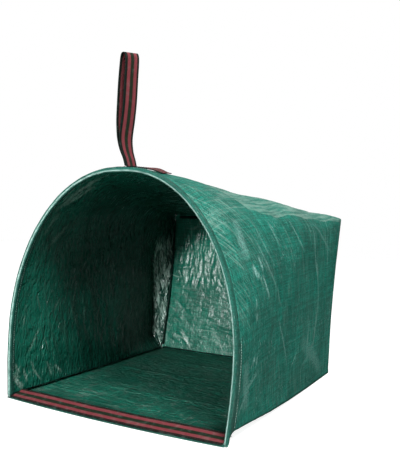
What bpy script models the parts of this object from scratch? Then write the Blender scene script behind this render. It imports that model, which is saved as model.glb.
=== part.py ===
"""Garden waste bag with a hooped mouth, lying open on its floor like a dustpan.

Run with blender --background --python part.py, or from the text editor. Sizes are in metres, +Z is up,
the mouth faces -Y and the origin is the middle of the floor's underside.
"""
from math import atan2, cos, pi, sin, sqrt

import bmesh
import bpy
from mathutils import Matrix, Vector

# The bag's outside
MOUTH_WIDTH = 0.500
MOUTH_HEIGHT = 0.470
MOUTH_LEG = 0.138
MOUTH_BULGE = 0.009
MOUTH_CROWN_FLAT = 0.024
MOUTH_SETBACK = 0.020
FLOOR_DEPTH = 0.600
REAR_WIDTH = 0.500
REAR_HEIGHT = 0.395
REAR_CORNER = 0.004
REAR_OVERHANG = 0.065

# Cloth and the space left between sewn pieces
CLOTH = 0.0010
SEW_GAP = 0.0004

# The hoop that keeps the mouth open, in its sleeve
SLEEVE_OUTSIDE = 0.0090
SLEEVE_WALL = 0.0010
HOOP_ROD = 0.0048
TIP_OUTSIDE = 0.0064
TIP_LENGTH = 0.014
TIP_END_WALL = 0.0020
TIP_FIT = 0.00015
TIP_SIDES = 16
SLEEVE_FOOT_SPACE = 0.0010

# The stiffened sill across the front of the floor
WEBBING_WIDTH = 0.038
WEBBING_THICKNESS = 0.0016
SILL_POCKET_HEIGHT = 0.0042
SILL_POCKET_WALL = 0.0010
BATTEN_WIDTH = 0.032
BATTEN_THICKNESS = 0.0020
SILL_END_SPACE = 0.0020

# The front handle, sewn over the middle of the mouth
FRONT_HANDLE_OFFSET = 0.003
FRONT_LOOP_HEIGHT = 0.2215
FRONT_TAIL_LENGTH = 0.078
ROOT_HALF_SPACE = 0.0032
STRAP_LIFT = 0.0010
HINGE_CLEARANCE = 0.0006
ROOT_SLANT_HEIGHT = 0.040
LOOP_CROWN_FLAT = 0.0070

# The rear handle, over the middle of the top rear edge
REAR_LOOP_DROP = 0.170
REAR_TAIL_LENGTH = 0.076

# Bound seams on the inside
SEAM_WIDTH = 0.010
SEAM_THICKNESS = 0.0018

# How finely curves are cut
LEG_STEPS = 5
ARC_STEPS = 14
DEPTH_STEPS = 12
TAIL_STEPS = 8

# A loop's shape: share of its height, sideways lean, half the space between the legs' middles
FRONT_LOOP_SHAPE = (
    (0.00, 0.0000, 0.0013),
    (0.07, -0.0046, 0.0014),
    (0.15, -0.0118, 0.0016),
    (0.24, -0.0162, 0.0024),
    (0.32, -0.0168, 0.0042),
    (0.42, -0.0160, 0.0066),
    (0.58, -0.0142, 0.0080),
    (0.76, -0.0130, 0.0080),
    (0.93, -0.0112, 0.0072),
)
REAR_LOOP_SHAPE = (
    (0.00, 0.0000, 0.0013),
    (0.20, 0.0012, 0.0040),
    (0.50, 0.0018, 0.0074),
    (0.80, 0.0016, 0.0072),
    (0.93, 0.0014, 0.0066),
)

FRONT_Y = -FLOOR_DEPTH / 2
REAR_Y = FLOOR_DEPTH / 2
WALL_FOOT = CLOTH + SEW_GAP
WRAP_FRONT_Y = FRONT_Y + SLEEVE_OUTSIDE + SEW_GAP
WRAP_REAR_Y = REAR_Y - CLOTH - SEW_GAP
REAR_LEAN = atan2(REAR_OVERHANG, REAR_HEIGHT)


def clear_scene():
    """Remove what is in the scene."""
    for item in list(bpy.data.objects):
        bpy.data.objects.remove(item, do_unlink=True)


def new_collection(name):
    group = bpy.data.collections.new(name)
    bpy.context.scene.collection.children.link(group)
    return group


def new_material(name, colour, roughness, metallic=0.0):
    """A Principled material with one colour."""
    material = bpy.data.materials.new(name)
    material.use_nodes = True
    shader = material.node_tree.nodes["Principled BSDF"]
    shader.inputs["Base Color"].default_value = (*colour, 1.0)
    shader.inputs["Roughness"].default_value = roughness
    shader.inputs["Metallic"].default_value = metallic
    material.diffuse_color = (*colour, 1.0)
    return material


def new_object(name, mesh, group, material=None):
    piece = bpy.data.objects.new(name, mesh)
    group.objects.link(piece)
    if material is not None:
        mesh.materials.clear()
        mesh.materials.append(material)
    return piece


def mesh_from_bmesh(name, bm):
    bmesh.ops.recalc_face_normals(bm, faces=bm.faces)
    mesh = bpy.data.meshes.new(name)
    bm.to_mesh(mesh)
    bm.free()
    return mesh


def mesh_from_curve(name, curve):
    """The mesh of a curve, with its doubled points joined."""
    holder = bpy.data.objects.new(name, curve)
    bpy.context.scene.collection.objects.link(holder)
    bpy.context.view_layer.update()
    mesh = bpy.data.meshes.new_from_object(holder.evaluated_get(bpy.context.evaluated_depsgraph_get()))
    bpy.data.objects.remove(holder, do_unlink=True)
    bm = bmesh.new()
    bm.from_mesh(mesh)
    bmesh.ops.remove_doubles(bm, verts=bm.verts, dist=0.00001)
    bmesh.ops.recalc_face_normals(bm, faces=bm.faces)
    bm.to_mesh(mesh)
    bm.free()
    mesh.name = name
    return mesh


def thicken(piece, thickness, offset):
    """Give a skin its thickness; offset -1 goes inwards, 1 outwards, 0 both ways."""
    solid = piece.modifiers.new("Thickness", "SOLIDIFY")
    solid.thickness = thickness
    solid.offset = offset
    solid.use_even_offset = True
    solid.use_rim = True


def box_mesh(name, size, centre=(0.0, 0.0, 0.0)):
    bm = bmesh.new()
    bmesh.ops.create_cube(bm, size=1.0)
    bmesh.ops.scale(bm, vec=Vector(size), verts=bm.verts)
    bmesh.ops.translate(bm, vec=Vector(centre), verts=bm.verts)
    return mesh_from_bmesh(name, bm)


def blend(start, end, share):
    return start + (end - start) * share


def half_section(share, inset=0.0):
    """The bag's outline from a foot to the top, seen along its depth: x and z of each point.

    share is 0 at the mouth and 1 at the rear. The mouth is a leg and a quarter ellipse, and the rear a
    square with small corners.
    """
    half = blend(MOUTH_WIDTH, REAR_WIDTH, share) / 2 - inset
    bulge = MOUTH_BULGE * (1 - share)
    height = blend(MOUTH_HEIGHT, REAR_HEIGHT, share) - inset
    widest = half + bulge
    round_x = max(blend(widest - MOUTH_CROWN_FLAT / 2, REAR_CORNER, share ** 0.85), REAR_CORNER)
    round_z = max(blend(MOUTH_HEIGHT - MOUTH_LEG - inset, REAR_CORNER, share ** 0.7), REAR_CORNER)
    leg = height - round_z
    points = []
    for step in range(LEG_STEPS):
        rise = step / LEG_STEPS
        points.append((half + bulge * sin(pi / 2 * rise), WALL_FOOT + (leg - WALL_FOOT) * rise))
    for step in range(ARC_STEPS + 1):
        angle = pi / 2 * step / ARC_STEPS
        points.append((widest - round_x + round_x * cos(angle), leg + round_z * sin(angle)))
    points.append((0.0, height))
    return points


def depth_of(share, front, height_share):
    """The y of a point: the mouth's top stands back, and the rear's top stands out."""
    foot = blend(front, WRAP_REAR_Y, share)
    return foot + blend(MOUTH_SETBACK, REAR_OVERHANG, share) * height_share


def section_line(share, front, inset=0.0):
    """One whole section from the left foot over the top to the right foot."""
    height = blend(MOUTH_HEIGHT, REAR_HEIGHT, share)
    right = [Vector((x, depth_of(share, front, z / height), z)) for x, z in half_section(share, inset)]
    left = [Vector((-p.x, p.y, p.z)) for p in right]
    return left[:-1] + right[::-1]


def roof_point(share, across, lift):
    """A point over the bag's upper side, lift above the cloth."""
    outline = half_section(share)[LEG_STEPS:-1]
    height = blend(MOUTH_HEIGHT, REAR_HEIGHT, share)
    round_x = outline[0][0] - outline[-1][0]
    round_z = outline[-1][1] - outline[0][1]
    past = max(abs(across) - outline[-1][0], 0.0) / round_x
    drop = round_z * (1 - sqrt(1 - past * past))
    slope = round_z * past / (round_x * sqrt(1 - past * past))
    side = 1 if across > 0 else -1
    level = height - drop
    out = Vector((side * slope, 0.0, 1.0)).normalized() * lift
    return Vector((across, depth_of(share, WRAP_FRONT_Y, level / height), level)) + out


def skin(name, rows):
    """A sheet through rows of points, with quads between neighbours."""
    bm = bmesh.new()
    grid = [[bm.verts.new(point) for point in row] for row in rows]
    for near, far in zip(grid, grid[1:]):
        for a, b, c, d in zip(near, near[1:], far[1:], far):
            bm.faces.new((a, b, c, d))
    mesh = bpy.data.meshes.new(name)
    bm.to_mesh(mesh)
    bm.free()
    return mesh


def tube_curve(name, points, depth, resolution, capped):
    """A round rod or sleeve along points."""
    curve = bpy.data.curves.new(name, "CURVE")
    curve.dimensions = "3D"
    curve.bevel_depth = depth
    curve.bevel_resolution = resolution
    curve.use_fill_caps = capped
    line = curve.splines.new("POLY")
    line.points.add(len(points) - 1)
    for spot, point in zip(line.points, points):
        spot.co = (*point, 1.0)
    return mesh_from_curve(name, curve)


def loop_mesh(name, shape, height, width):
    """A strap doubled into a loop: it goes up one leg, over a flat crown and down the other.

    The loop lies in the mesh's XZ plane, its root at the origin and its width along Y.
    """
    curve = bpy.data.curves.new(name, "CURVE")
    curve.dimensions = "2D"
    curve.fill_mode = "NONE"
    curve.extrude = width / 2
    curve.resolution_u = 5
    crown_lean = shape[-1][1]
    left = [(lean - half, share * height) for share, lean, half in shape]
    right = [(lean + half, share * height) for share, lean, half in shape]
    crown = [(crown_lean - LOOP_CROWN_FLAT / 2, height), (crown_lean + LOOP_CROWN_FLAT / 2, height)]
    path = left + crown + right[::-1]
    line = curve.splines.new("BEZIER")
    line.bezier_points.add(len(path) - 1)
    for spot, (x, z) in zip(line.bezier_points, path):
        spot.co = (x, z, 0.0)
        spot.handle_left_type = "AUTO"
        spot.handle_right_type = "AUTO"
    # The crown stays flat between its two points
    first, second = line.bezier_points[len(left)], line.bezier_points[len(left) + 1]
    first.handle_right_type = "VECTOR"
    second.handle_left_type = "VECTOR"
    mesh = mesh_from_curve(name, curve)
    mesh.transform(Matrix.Rotation(pi / 2, 4, "X"))
    return mesh


def make_wrap(group, cloth):
    """The one long panel that is both sides and the top."""
    rows = [section_line(step / DEPTH_STEPS, WRAP_FRONT_Y) for step in range(DEPTH_STEPS + 1)]
    piece = new_object("wrap_panel", skin("wrap_panel", rows), group, cloth)
    thicken(piece, CLOTH, -1)
    return piece


def make_floor(group, cloth):
    mesh = box_mesh("floor_panel", (MOUTH_WIDTH, FLOOR_DEPTH, CLOTH), (0.0, 0.0, CLOTH / 2))
    for vertex in mesh.vertices:
        if vertex.co.y > 0:
            vertex.co.x *= REAR_WIDTH / MOUTH_WIDTH
    return new_object("floor_panel", mesh, group, cloth)


def make_rear(group, cloth):
    """The flat rear panel, closing the wrap's leaning rear end."""
    rise = REAR_HEIGHT - WALL_FOOT
    slant = rise / cos(REAR_LEAN)
    mesh = box_mesh("rear_panel", (REAR_WIDTH, CLOTH, slant), (0.0, CLOTH / 2, slant / 2))
    piece = new_object("rear_panel", mesh, group, cloth)
    foot_shift = REAR_OVERHANG * WALL_FOOT / REAR_HEIGHT
    piece.location = (0.0, WRAP_REAR_Y + SEW_GAP + foot_shift, WALL_FOOT + CLOTH * sin(REAR_LEAN))
    piece.rotation_euler = (-REAR_LEAN, 0.0, 0.0)
    return piece


def mouth_line(foot):
    """The middle of the hoop, from the left foot over the top to the right one."""
    inset = SLEEVE_OUTSIDE / 2
    line = section_line(0.0, FRONT_Y + inset, inset)
    for end, near in ((0, 1), (-1, -2)):
        reach = (line[near].z - foot) / (line[near].z - line[end].z)
        line[end] = line[near].lerp(line[end], reach)
    return line


def tip_mesh(name):
    """A cup for the rod's end, spun round +Z with its closed end at the origin."""
    bore = HOOP_ROD / 2 + TIP_FIT
    outer = TIP_OUTSIDE / 2
    profile = [(0, 0), (outer, 0), (outer, TIP_LENGTH), (bore, TIP_LENGTH), (bore, TIP_END_WALL), (0, TIP_END_WALL)]
    bm = bmesh.new()
    corners = [bm.verts.new((x, 0.0, z)) for x, z in profile]
    edges = [bm.edges.new(pair) for pair in zip(corners, corners[1:])]
    bmesh.ops.spin(
        bm, geom=corners + edges, axis=(0, 0, 1), cent=(0, 0, 0), angle=2 * pi, steps=TIP_SIDES, use_duplicate=False
    )
    bmesh.ops.remove_doubles(bm, verts=bm.verts, dist=0.00001)
    return mesh_from_bmesh(name, bm)


def make_hoop(group, cloth_edge, rod, plastic):
    """The sleeve round the mouth, the rod in it and a tip on each end of the rod."""
    sleeve_foot = WALL_FOOT + SLEEVE_FOOT_SPACE
    sleeve_mesh = tube_curve("mouth_hem_sleeve", mouth_line(sleeve_foot), SLEEVE_OUTSIDE / 2, 4, False)
    sleeve = new_object("mouth_hem_sleeve", sleeve_mesh, group, cloth_edge)
    thicken(sleeve, SLEEVE_WALL, -1)
    tip_foot = sleeve_foot + SEW_GAP
    rod_foot = tip_foot + TIP_END_WALL + TIP_FIT
    hoop = new_object(
        "mouth_hoop", tube_curve("mouth_hoop", mouth_line(rod_foot), HOOP_ROD / 2, 3, True), group, rod
    )
    pieces = [sleeve, hoop]
    line = mouth_line(tip_foot)
    for side, low, next_up in (("left", line[0], line[1]), ("right", line[-1], line[-2])):
        tip = new_object(f"hoop_tip_{side}", tip_mesh(f"hoop_tip_{side}"), group, plastic)
        turn = (next_up - low).to_track_quat("Z", "Y").to_matrix().to_4x4()
        tip.matrix_world = Matrix.Translation(low) @ turn
        pieces.append(tip)
    return pieces


def make_sill(group, cutters, cloth_edge, webbing, plastic):
    """The batten in its pocket across the front, with webbing sewn over it."""
    length = MOUTH_WIDTH - 2 * (SLEEVE_OUTSIDE + SILL_END_SPACE)
    middle = FRONT_Y + WEBBING_WIDTH / 2
    base = CLOTH + SEW_GAP
    batten = new_object(
        "sill_batten",
        box_mesh("sill_batten", (length - 0.008, BATTEN_WIDTH, BATTEN_THICKNESS)),
        group,
        plastic,
    )
    batten.location = (0.0, middle, base + BATTEN_THICKNESS / 2)
    pocket = new_object(
        "sill_hem", box_mesh("sill_hem", (length, WEBBING_WIDTH, SILL_POCKET_HEIGHT)), group, cloth_edge
    )
    pocket.location = (0.0, middle, base + SILL_POCKET_HEIGHT / 2)
    inside = (length * 1.2, WEBBING_WIDTH - 2 * SILL_POCKET_WALL, SILL_POCKET_HEIGHT)
    cutter = new_object("sill_pocket_space", box_mesh("sill_pocket_space", inside), cutters)
    cutter.location = (0.0, middle, base + SILL_POCKET_HEIGHT / 2 - SILL_POCKET_WALL)
    cut = pocket.modifiers.new("Pocket", "BOOLEAN")
    cut.operation = "DIFFERENCE"
    cut.solver = "EXACT"
    cut.object = cutter
    strip = new_object(
        "sill_webbing", box_mesh("sill_webbing", (length, WEBBING_WIDTH, WEBBING_THICKNESS)), group, webbing
    )
    strip.location = (0.0, middle, base + SILL_POCKET_HEIGHT + SEW_GAP + WEBBING_THICKNESS / 2)
    return [batten, pocket, strip]


def front_strap_shares():
    """Where the front strap's two edges lie along the bag's depth."""
    front = SLEEVE_OUTSIDE * 0.4
    length = WRAP_REAR_Y - WRAP_FRONT_Y
    return front / length, (front + WEBBING_WIDTH) / length


def front_root():
    """The front loop's hinge point, over the cloth where the two tails meet."""
    middle = sum(front_strap_shares()) / 2
    height = STRAP_LIFT + WEBBING_THICKNESS * 3 / 2 + FRONT_LOOP_SHAPE[0][2] + HINGE_CLEARANCE
    return roof_point(middle, FRONT_HANDLE_OFFSET, height)


def front_hinge_axis():
    """The sewn line at the loop's root, which slopes down with the cloth behind the mouth."""
    near, far = front_strap_shares()
    return (roof_point(far, FRONT_HANDLE_OFFSET, 0.0) - roof_point(near, FRONT_HANDLE_OFFSET, 0.0)).normalized()


def slant_root(mesh, slope, height):
    """Cut a loop's root to the slope of the cloth under it, and leave its upper part as it is."""
    for vertex in mesh.vertices:
        fade = max(1 - vertex.co.z / height, 0.0)
        vertex.co.z += vertex.co.y * slope * fade


def make_front_handle(group, webbing):
    """Two tails along the arch and the loop that stands between them."""
    pieces = []
    for side, sign in (("left", -1), ("right", 1)):
        start = FRONT_HANDLE_OFFSET + sign * ROOT_HALF_SPACE
        end = start + sign * FRONT_TAIL_LENGTH
        rows = []
        for share in front_strap_shares():
            steps = [start + (end - start) * step / TAIL_STEPS for step in range(TAIL_STEPS + 1)]
            rows.append([roof_point(share, across, STRAP_LIFT) for across in steps])
        name = f"front_handle_tail_{side}"
        tail = new_object(name, skin(name, rows), group, webbing)
        thicken(tail, WEBBING_THICKNESS, sign)
        pieces.append(tail)
    mesh = loop_mesh("front_handle_loop", FRONT_LOOP_SHAPE, FRONT_LOOP_HEIGHT, WEBBING_WIDTH)
    axis = front_hinge_axis()
    slant_root(mesh, axis.z / axis.y, ROOT_SLANT_HEIGHT)
    loop = new_object("front_handle_loop", mesh, group, webbing)
    thicken(loop, WEBBING_THICKNESS, 0)
    loop.location = front_root()
    pieces.append(loop)
    return pieces


def rear_root():
    """The rear loop's hinge point, just behind the top rear edge."""
    stand_off = CLOTH + STRAP_LIFT + WEBBING_THICKNESS * 3 / 2 + REAR_LOOP_SHAPE[0][2] + HINGE_CLEARANCE
    return Vector((0.0, WRAP_REAR_Y + REAR_OVERHANG + SEW_GAP + stand_off, REAR_HEIGHT))


def make_rear_handle(group, webbing):
    """One tail on the top, one down the rear panel and the loop that hangs between them."""
    edge = ROOT_HALF_SPACE / (WRAP_REAR_Y - WRAP_FRONT_Y)
    length = REAR_TAIL_LENGTH / (WRAP_REAR_Y + REAR_OVERHANG - WRAP_FRONT_Y - MOUTH_SETBACK)
    rows = []
    for share in (1 - edge - length, 1 - edge - length / 2, 1 - edge):
        rows.append([roof_point(share, across, STRAP_LIFT) for across in (-WEBBING_WIDTH / 2, WEBBING_WIDTH / 2)])
    top = new_object("rear_handle_tail_top", skin("rear_handle_tail_top", rows), group, webbing)
    thicken(top, WEBBING_THICKNESS, 1)
    size = (WEBBING_WIDTH, WEBBING_THICKNESS, REAR_TAIL_LENGTH)
    mesh = box_mesh("rear_handle_tail_back", size, (0.0, WEBBING_THICKNESS / 2, -REAR_TAIL_LENGTH / 2))
    back = new_object("rear_handle_tail_back", mesh, group, webbing)
    behind = WRAP_REAR_Y + REAR_OVERHANG + SEW_GAP + CLOTH + STRAP_LIFT
    drop = ROOT_HALF_SPACE
    back.location = (0.0, behind - drop * REAR_OVERHANG / REAR_HEIGHT, REAR_HEIGHT - drop)
    back.rotation_euler = (-REAR_LEAN, 0.0, 0.0)
    loop_shape = loop_mesh("rear_handle_loop", REAR_LOOP_SHAPE, REAR_LOOP_DROP, WEBBING_WIDTH)
    loop_shape.transform(Matrix.Rotation(pi / 2, 4, "Z") @ Matrix.Rotation(pi, 4, "Y"))
    loop = new_object("rear_handle_loop", loop_shape, group, webbing)
    thicken(loop, WEBBING_THICKNESS, 0)
    loop.location = rear_root()
    return [top, back, loop]


def seam_strip(group, tape, name, start, end, inward):
    """A bound seam: a flat strip from start to end that stands inwards from the corner it closes."""
    along = end - start
    length = along.length
    along.normalize()
    out = (inward - along * inward.dot(along)).normalized()
    side = along.cross(out)
    size = (SEAM_WIDTH, SEAM_THICKNESS, length)
    mesh = box_mesh(name, size, (SEAM_WIDTH / 2 + SEAM_THICKNESS / 2 + SEW_GAP * 2, 0.0, length / 2))
    strip = new_object(name, mesh, group, tape)
    turn = Matrix((out, side, along)).transposed().to_4x4()
    strip.matrix_world = Matrix.Translation(start) @ turn
    return strip


def make_seams(group, tape):
    """The seams between the panels, each bound with tape on the inside."""
    inner = CLOTH
    clear = SEAM_WIDTH + SEAM_THICKNESS + SEW_GAP * 4
    sill_back = FRONT_Y + WEBBING_WIDTH + SEW_GAP * 4
    rear_foot = WRAP_REAR_Y - SEW_GAP
    top_inset = 0.020
    pieces = []
    for side, sign in (("left", -1), ("right", 1)):
        front_x = sign * (MOUTH_WIDTH / 2 - inner)
        rear_x = sign * (REAR_WIDTH / 2 - inner)
        start = Vector((front_x, sill_back, CLOTH))
        end = Vector((rear_x, rear_foot - clear, CLOTH))
        pieces.append(seam_strip(group, tape, f"seam_floor_{side}", start, end, Vector((-sign, 0, 1))))
        low = Vector((rear_x, rear_foot + REAR_OVERHANG * clear / REAR_HEIGHT, CLOTH + clear))
        high_z = REAR_HEIGHT - top_inset
        high = Vector((rear_x, rear_foot + REAR_OVERHANG * high_z / REAR_HEIGHT, high_z))
        pieces.append(seam_strip(group, tape, f"seam_rear_{side}", low, high, Vector((-sign, -1, 0))))
    half = REAR_WIDTH / 2 - inner - clear
    left = Vector((-half, rear_foot, CLOTH))
    right = Vector((half, rear_foot, CLOTH))
    pieces.append(seam_strip(group, tape, "seam_rear_bottom", left, right, Vector((0, -1, 1))))
    half = REAR_WIDTH / 2 - top_inset
    top_y = rear_foot + REAR_OVERHANG
    left = Vector((-half, top_y, REAR_HEIGHT - CLOTH - SEW_GAP))
    right = Vector((half, top_y, REAR_HEIGHT - CLOTH - SEW_GAP))
    pieces.append(seam_strip(group, tape, "seam_rear_top", left, right, Vector((0, -1, -1))))
    return pieces


def main():
    clear_scene()
    bag = new_collection("garden_waste_bag")
    cutters = new_collection("cutters")
    cloth = new_material("green_cloth", (0.012, 0.120, 0.085), 0.42)
    cloth_edge = new_material("green_hem", (0.050, 0.230, 0.170), 0.50)
    tape = new_material("dark_tape", (0.004, 0.022, 0.018), 0.70)
    webbing = new_material("striped_webbing", (0.220, 0.050, 0.065), 0.80)
    rod = new_material("hoop_rod", (0.030, 0.032, 0.033), 0.35)
    plastic = new_material("black_plastic", (0.018, 0.019, 0.020), 0.50)
    make_floor(bag, cloth)
    make_wrap(bag, cloth)
    make_rear(bag, cloth)
    make_hoop(bag, cloth_edge, rod, plastic)
    make_sill(bag, cutters, cloth_edge, webbing, plastic)
    make_front_handle(bag, webbing)
    make_rear_handle(bag, webbing)
    make_seams(bag, tape)
    for cutter in cutters.objects:
        cutter.hide_render = True
        cutter.display_type = "WIRE"


main()
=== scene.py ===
"""The garden waste bag in its cloth, webbing and thread, on a plain pale stage.

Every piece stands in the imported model's frame, in metres: +Z is up, the mouth faces -Y and the origin is the
middle of the floor's underside.
"""
from functools import lru_cache
from math import cos, hypot, pi, sin, tau

import bmesh
import bpy
import numpy as np
from mathutils import Matrix, Vector, noise


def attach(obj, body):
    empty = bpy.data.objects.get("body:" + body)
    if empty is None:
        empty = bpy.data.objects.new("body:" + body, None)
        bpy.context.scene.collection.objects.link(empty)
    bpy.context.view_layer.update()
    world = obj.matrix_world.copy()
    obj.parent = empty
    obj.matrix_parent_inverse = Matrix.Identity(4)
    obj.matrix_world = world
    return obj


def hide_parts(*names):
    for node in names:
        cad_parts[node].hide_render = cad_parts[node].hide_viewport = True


bl_info = {
    "name": "Garden waste bag",
    "version": (1, 0, 0),
    "blender": (4, 5, 0),
    "location": "3D View > Sidebar > Garden bag",
    "description": "Cloth, webbing, thread and stage for a hooped garden waste bag",
    "category": "Add Mesh",
}

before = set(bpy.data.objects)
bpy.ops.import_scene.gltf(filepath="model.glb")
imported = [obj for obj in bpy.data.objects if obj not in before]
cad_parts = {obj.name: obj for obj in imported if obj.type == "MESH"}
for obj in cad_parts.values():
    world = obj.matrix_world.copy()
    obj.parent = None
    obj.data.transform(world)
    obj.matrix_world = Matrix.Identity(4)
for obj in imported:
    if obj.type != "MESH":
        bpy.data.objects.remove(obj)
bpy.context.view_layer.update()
ACROSS, BACK, UP = Vector((1, 0, 0)), Vector((0, 1, 0)), Vector((0, 0, 1))
INSIDE = Vector((0.0, 0.0, 0.2))

# The sewn shape, as in the part's source
MOUTH_WIDTH = 0.500
MOUTH_HEIGHT = 0.470
MOUTH_LEG = 0.138
MOUTH_BULGE = 0.009
MOUTH_CROWN_FLAT = 0.024
MOUTH_SETBACK = 0.020
REAR_WIDTH = 0.500
REAR_HEIGHT = 0.395
REAR_CORNER = 0.004
REAR_OVERHANG = 0.065
FRONT_Y = -0.300
WALL_FOOT = 0.0014
WRAP_FRONT_Y = -0.2906
WRAP_REAR_Y = 0.2986
FLOOR_DEPTH = 0.600
STRAP_WIDTH = 0.038
STRAP_HALF = STRAP_WIDTH / 2
FRONT_HANDLE_OFFSET = 0.003
FRONT_TAIL_LENGTH = 0.078
FRONT_LOOP_HEIGHT = 0.2215
FRONT_ROOT = Vector((0.003, -0.24627, 0.47242))
FRONT_ROOT_SLOPE = -0.1183
REAR_LOOP_DROP = 0.170
REAR_TAIL_LENGTH = 0.076
REAR_ROOT = Vector((0.0, 0.3703, 0.395))

# The cloth's own sizes: depth along the walls, the hem's tube, the sill and the rows of stitches
WRAP_DEPTH = 0.62
HEM_RADIUS = 0.0045
HEM_FOOT = 0.0012
SILL_HALF = 0.2425
SILL_BEND_HALF = 0.243
HEM_STITCH_SHARE = 0.62
TAPE_STITCH_SHARE = 0.62

# Steps of the outline: up a leg, and round the turn from the leg to the top
LEG_STEPS = 32
TURN_STEPS = 96

# The cloth's cells: from the top's middle to the shoulder, from there to a foot, and along the depth
UPPER_CELLS = 60
LOWER_CELLS = 94
DEPTH_CELLS = 148
SHOULDER_TURN = UPPER_CELLS / (UPPER_CELLS + LOWER_CELLS)

# A loop's shape: share of its height, sideways lean, half the space between the legs' middles; and its crown
FRONT_LOOP_SHAPE = (
    (0.00, 0.0000, 0.0013), (0.07, -0.0046, 0.0014), (0.15, -0.0118, 0.0016), (0.24, -0.0162, 0.0024),
    (0.32, -0.0168, 0.0042), (0.42, -0.0160, 0.0066), (0.58, -0.0142, 0.0080), (0.76, -0.0130, 0.0080),
    (0.93, -0.0112, 0.0072),
)
REAR_LOOP_SHAPE = (
    (0.00, 0.0000, 0.0013), (0.20, 0.0012, 0.0040), (0.50, 0.0018, 0.0074), (0.80, 0.0016, 0.0072),
    (0.93, 0.0014, 0.0066),
)
CROWN_HALF = 0.0035

# The fold of the sill from its flap under the floor, round the front edge and over the batten: back, up
SILL_SECTION = (
    (0.050, 0.0010), (0.040, 0.0010), (0.025, 0.0010), (0.010, 0.0010), (0.003, 0.0011), (0.0006, 0.0018),
    (0.0003, 0.0030), (0.0020, 0.0042), (0.008, 0.0058), (0.016, 0.0074), (0.024, 0.0090), (0.032, 0.0105),
    (0.0385, 0.0115), (0.0415, 0.0108), (0.0445, 0.0082), (0.048, 0.0048), (0.052, 0.0020), (0.056, 0.0014),
)

# How the right side's lower edge rises behind the mouth: y, height. The left side's rises by a part of that.
SIDE_LIFT = (
    (-0.300, 0.0), (-0.2925, 0.014), (-0.286, 0.0205), (-0.275, 0.0222), (-0.198, 0.0167), (-0.106, 0.0094),
    (-0.003, 0.0047), (0.118, 0.0017), (0.300, 0.0),
)
LEFT_LIFT = 0.15

# How far the rear seams draw in: height, distance. The upper corners stand out instead.
REAR_WAIST = (
    (0.0, 0.0), (0.04, 0.0008), (0.09, 0.0020), (0.14, 0.0026), (0.20, 0.0020), (0.27, 0.0004),
    (0.33, -0.0020), (0.395, -0.0046),
)

# How the shoulders rise and sink along the depth: share, height
SHOULDER_WAVE = (
    (0.0, 0.0), (0.04, 0.0030), (0.10, 0.0027), (0.20, 0.0009), (0.28, -0.0009), (0.37, -0.0030),
    (0.46, -0.0006), (0.57, -0.0024), (0.68, -0.0044), (0.80, -0.0046), (0.91, -0.0010), (1.0, 0.0),
)

# The lower edge of the pale band of painted sheen along the shoulder: depth y, height
BAND_EDGE = (
    (-0.300, 0.560), (-0.190, 0.520), (-0.170, 0.485), (-0.155, 0.458), (-0.145, 0.430), (-0.130, 0.405),
    (-0.080, 0.400), (-0.034, 0.393), (0.025, 0.396), (0.064, 0.394), (0.122, 0.386), (0.155, 0.391),
    (0.217, 0.388), (0.310, 0.383),
)


def strokes(unit, rows):
    """Lines from rows in millimetres: each has its points, its width and how much it stands out or shows."""
    return [([(a / 1000, b / 1000) for a, b in zip(row[:-2:2], row[1:-2:2])], row[-2] / 1000, row[-1] * unit)
            for row in rows]


# Folds of the walls in millimetres: depth y and height of each point, then width and how far they stand out
WALL_FOLDS = {
    "both": strokes(0.001, (
        (-300, 430, -235, 392, -178, 390, -100, 378, -20, 385, 80, 372, 200, 362, 55, 8.5),
    )),
    "right": strokes(0.001, (
        (-262, 412, -215, 382, -178, 395, -100, 382, -20, 397, 70, 383, 10, -2.2),
        (-190, 410, -160, 367, -124, 320, -100, 270, 7, 2.2),
        (-235, 400, -225, 350, -196, 290, -150, 225, -120, 170, 9, 2.6),
        (-75, 395, -15, 353, 35, 300, 60, 240, 7, 2),
        (-10, 395, 35, 345, 60, 290, 6, 1.5),
        (85, 385, 135, 335, 155, 250, 150, 100, 8, 2.2),
        (185, 380, 225, 300, 235, 200, 230, 80, 10, 1.8),
        (-130, 300, -90, 220, -75, 120, 9, -1.6),
        (-255, 200, -215, 120, -165, 60, 10, 1.8),
    )),
    "left": strokes(0.001, (
        (-240, 400, -200, 330, -190, 240, -215, 140, 9, 2.2),
        (-100, 390, -60, 280, -80, 150, -120, 50, 12, 1),
        (20, 380, 70, 280, 60, 150, 11, 2.4),
        (150, 370, 170, 250, 150, 80, 10, 2),
    )),
}

# Folds of the floor, the same with x and y
FLOOR_FOLDS = strokes(0.001, (
    (-210, -100, -50, -130, 120, -110, 220, -140, 10, 2.2),
    (-220, 50, -80, 30, 60, 60, 200, 30, 12, 2.6),
    (-180, 170, 0, 150, 190, 180, 12, 2.2),
))

# Folds of the rear panel, the same with x and height
REAR_FOLDS = strokes(0.001, (
    (-246, 240, -215, 236, -180, 243, 6, -3),
    (-205, 60, -185, 45, -165, 18, 6, -3.2),
    (-130, 75, -60, 70, 20, 62, 8, -2),
    (-230, 150, -190, 118, -160, 95, 7, 2.2),
    (0, 350, -20, 280, -10, 200, 10, 2.5),
    (110, 330, 90, 230, 120, 120, 12, 2.2),
    (200, 300, 170, 200, 205, 90, 12, -2.4),
    (-120, 360, -140, 280, -125, 220, 9, -2.6),
))
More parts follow.
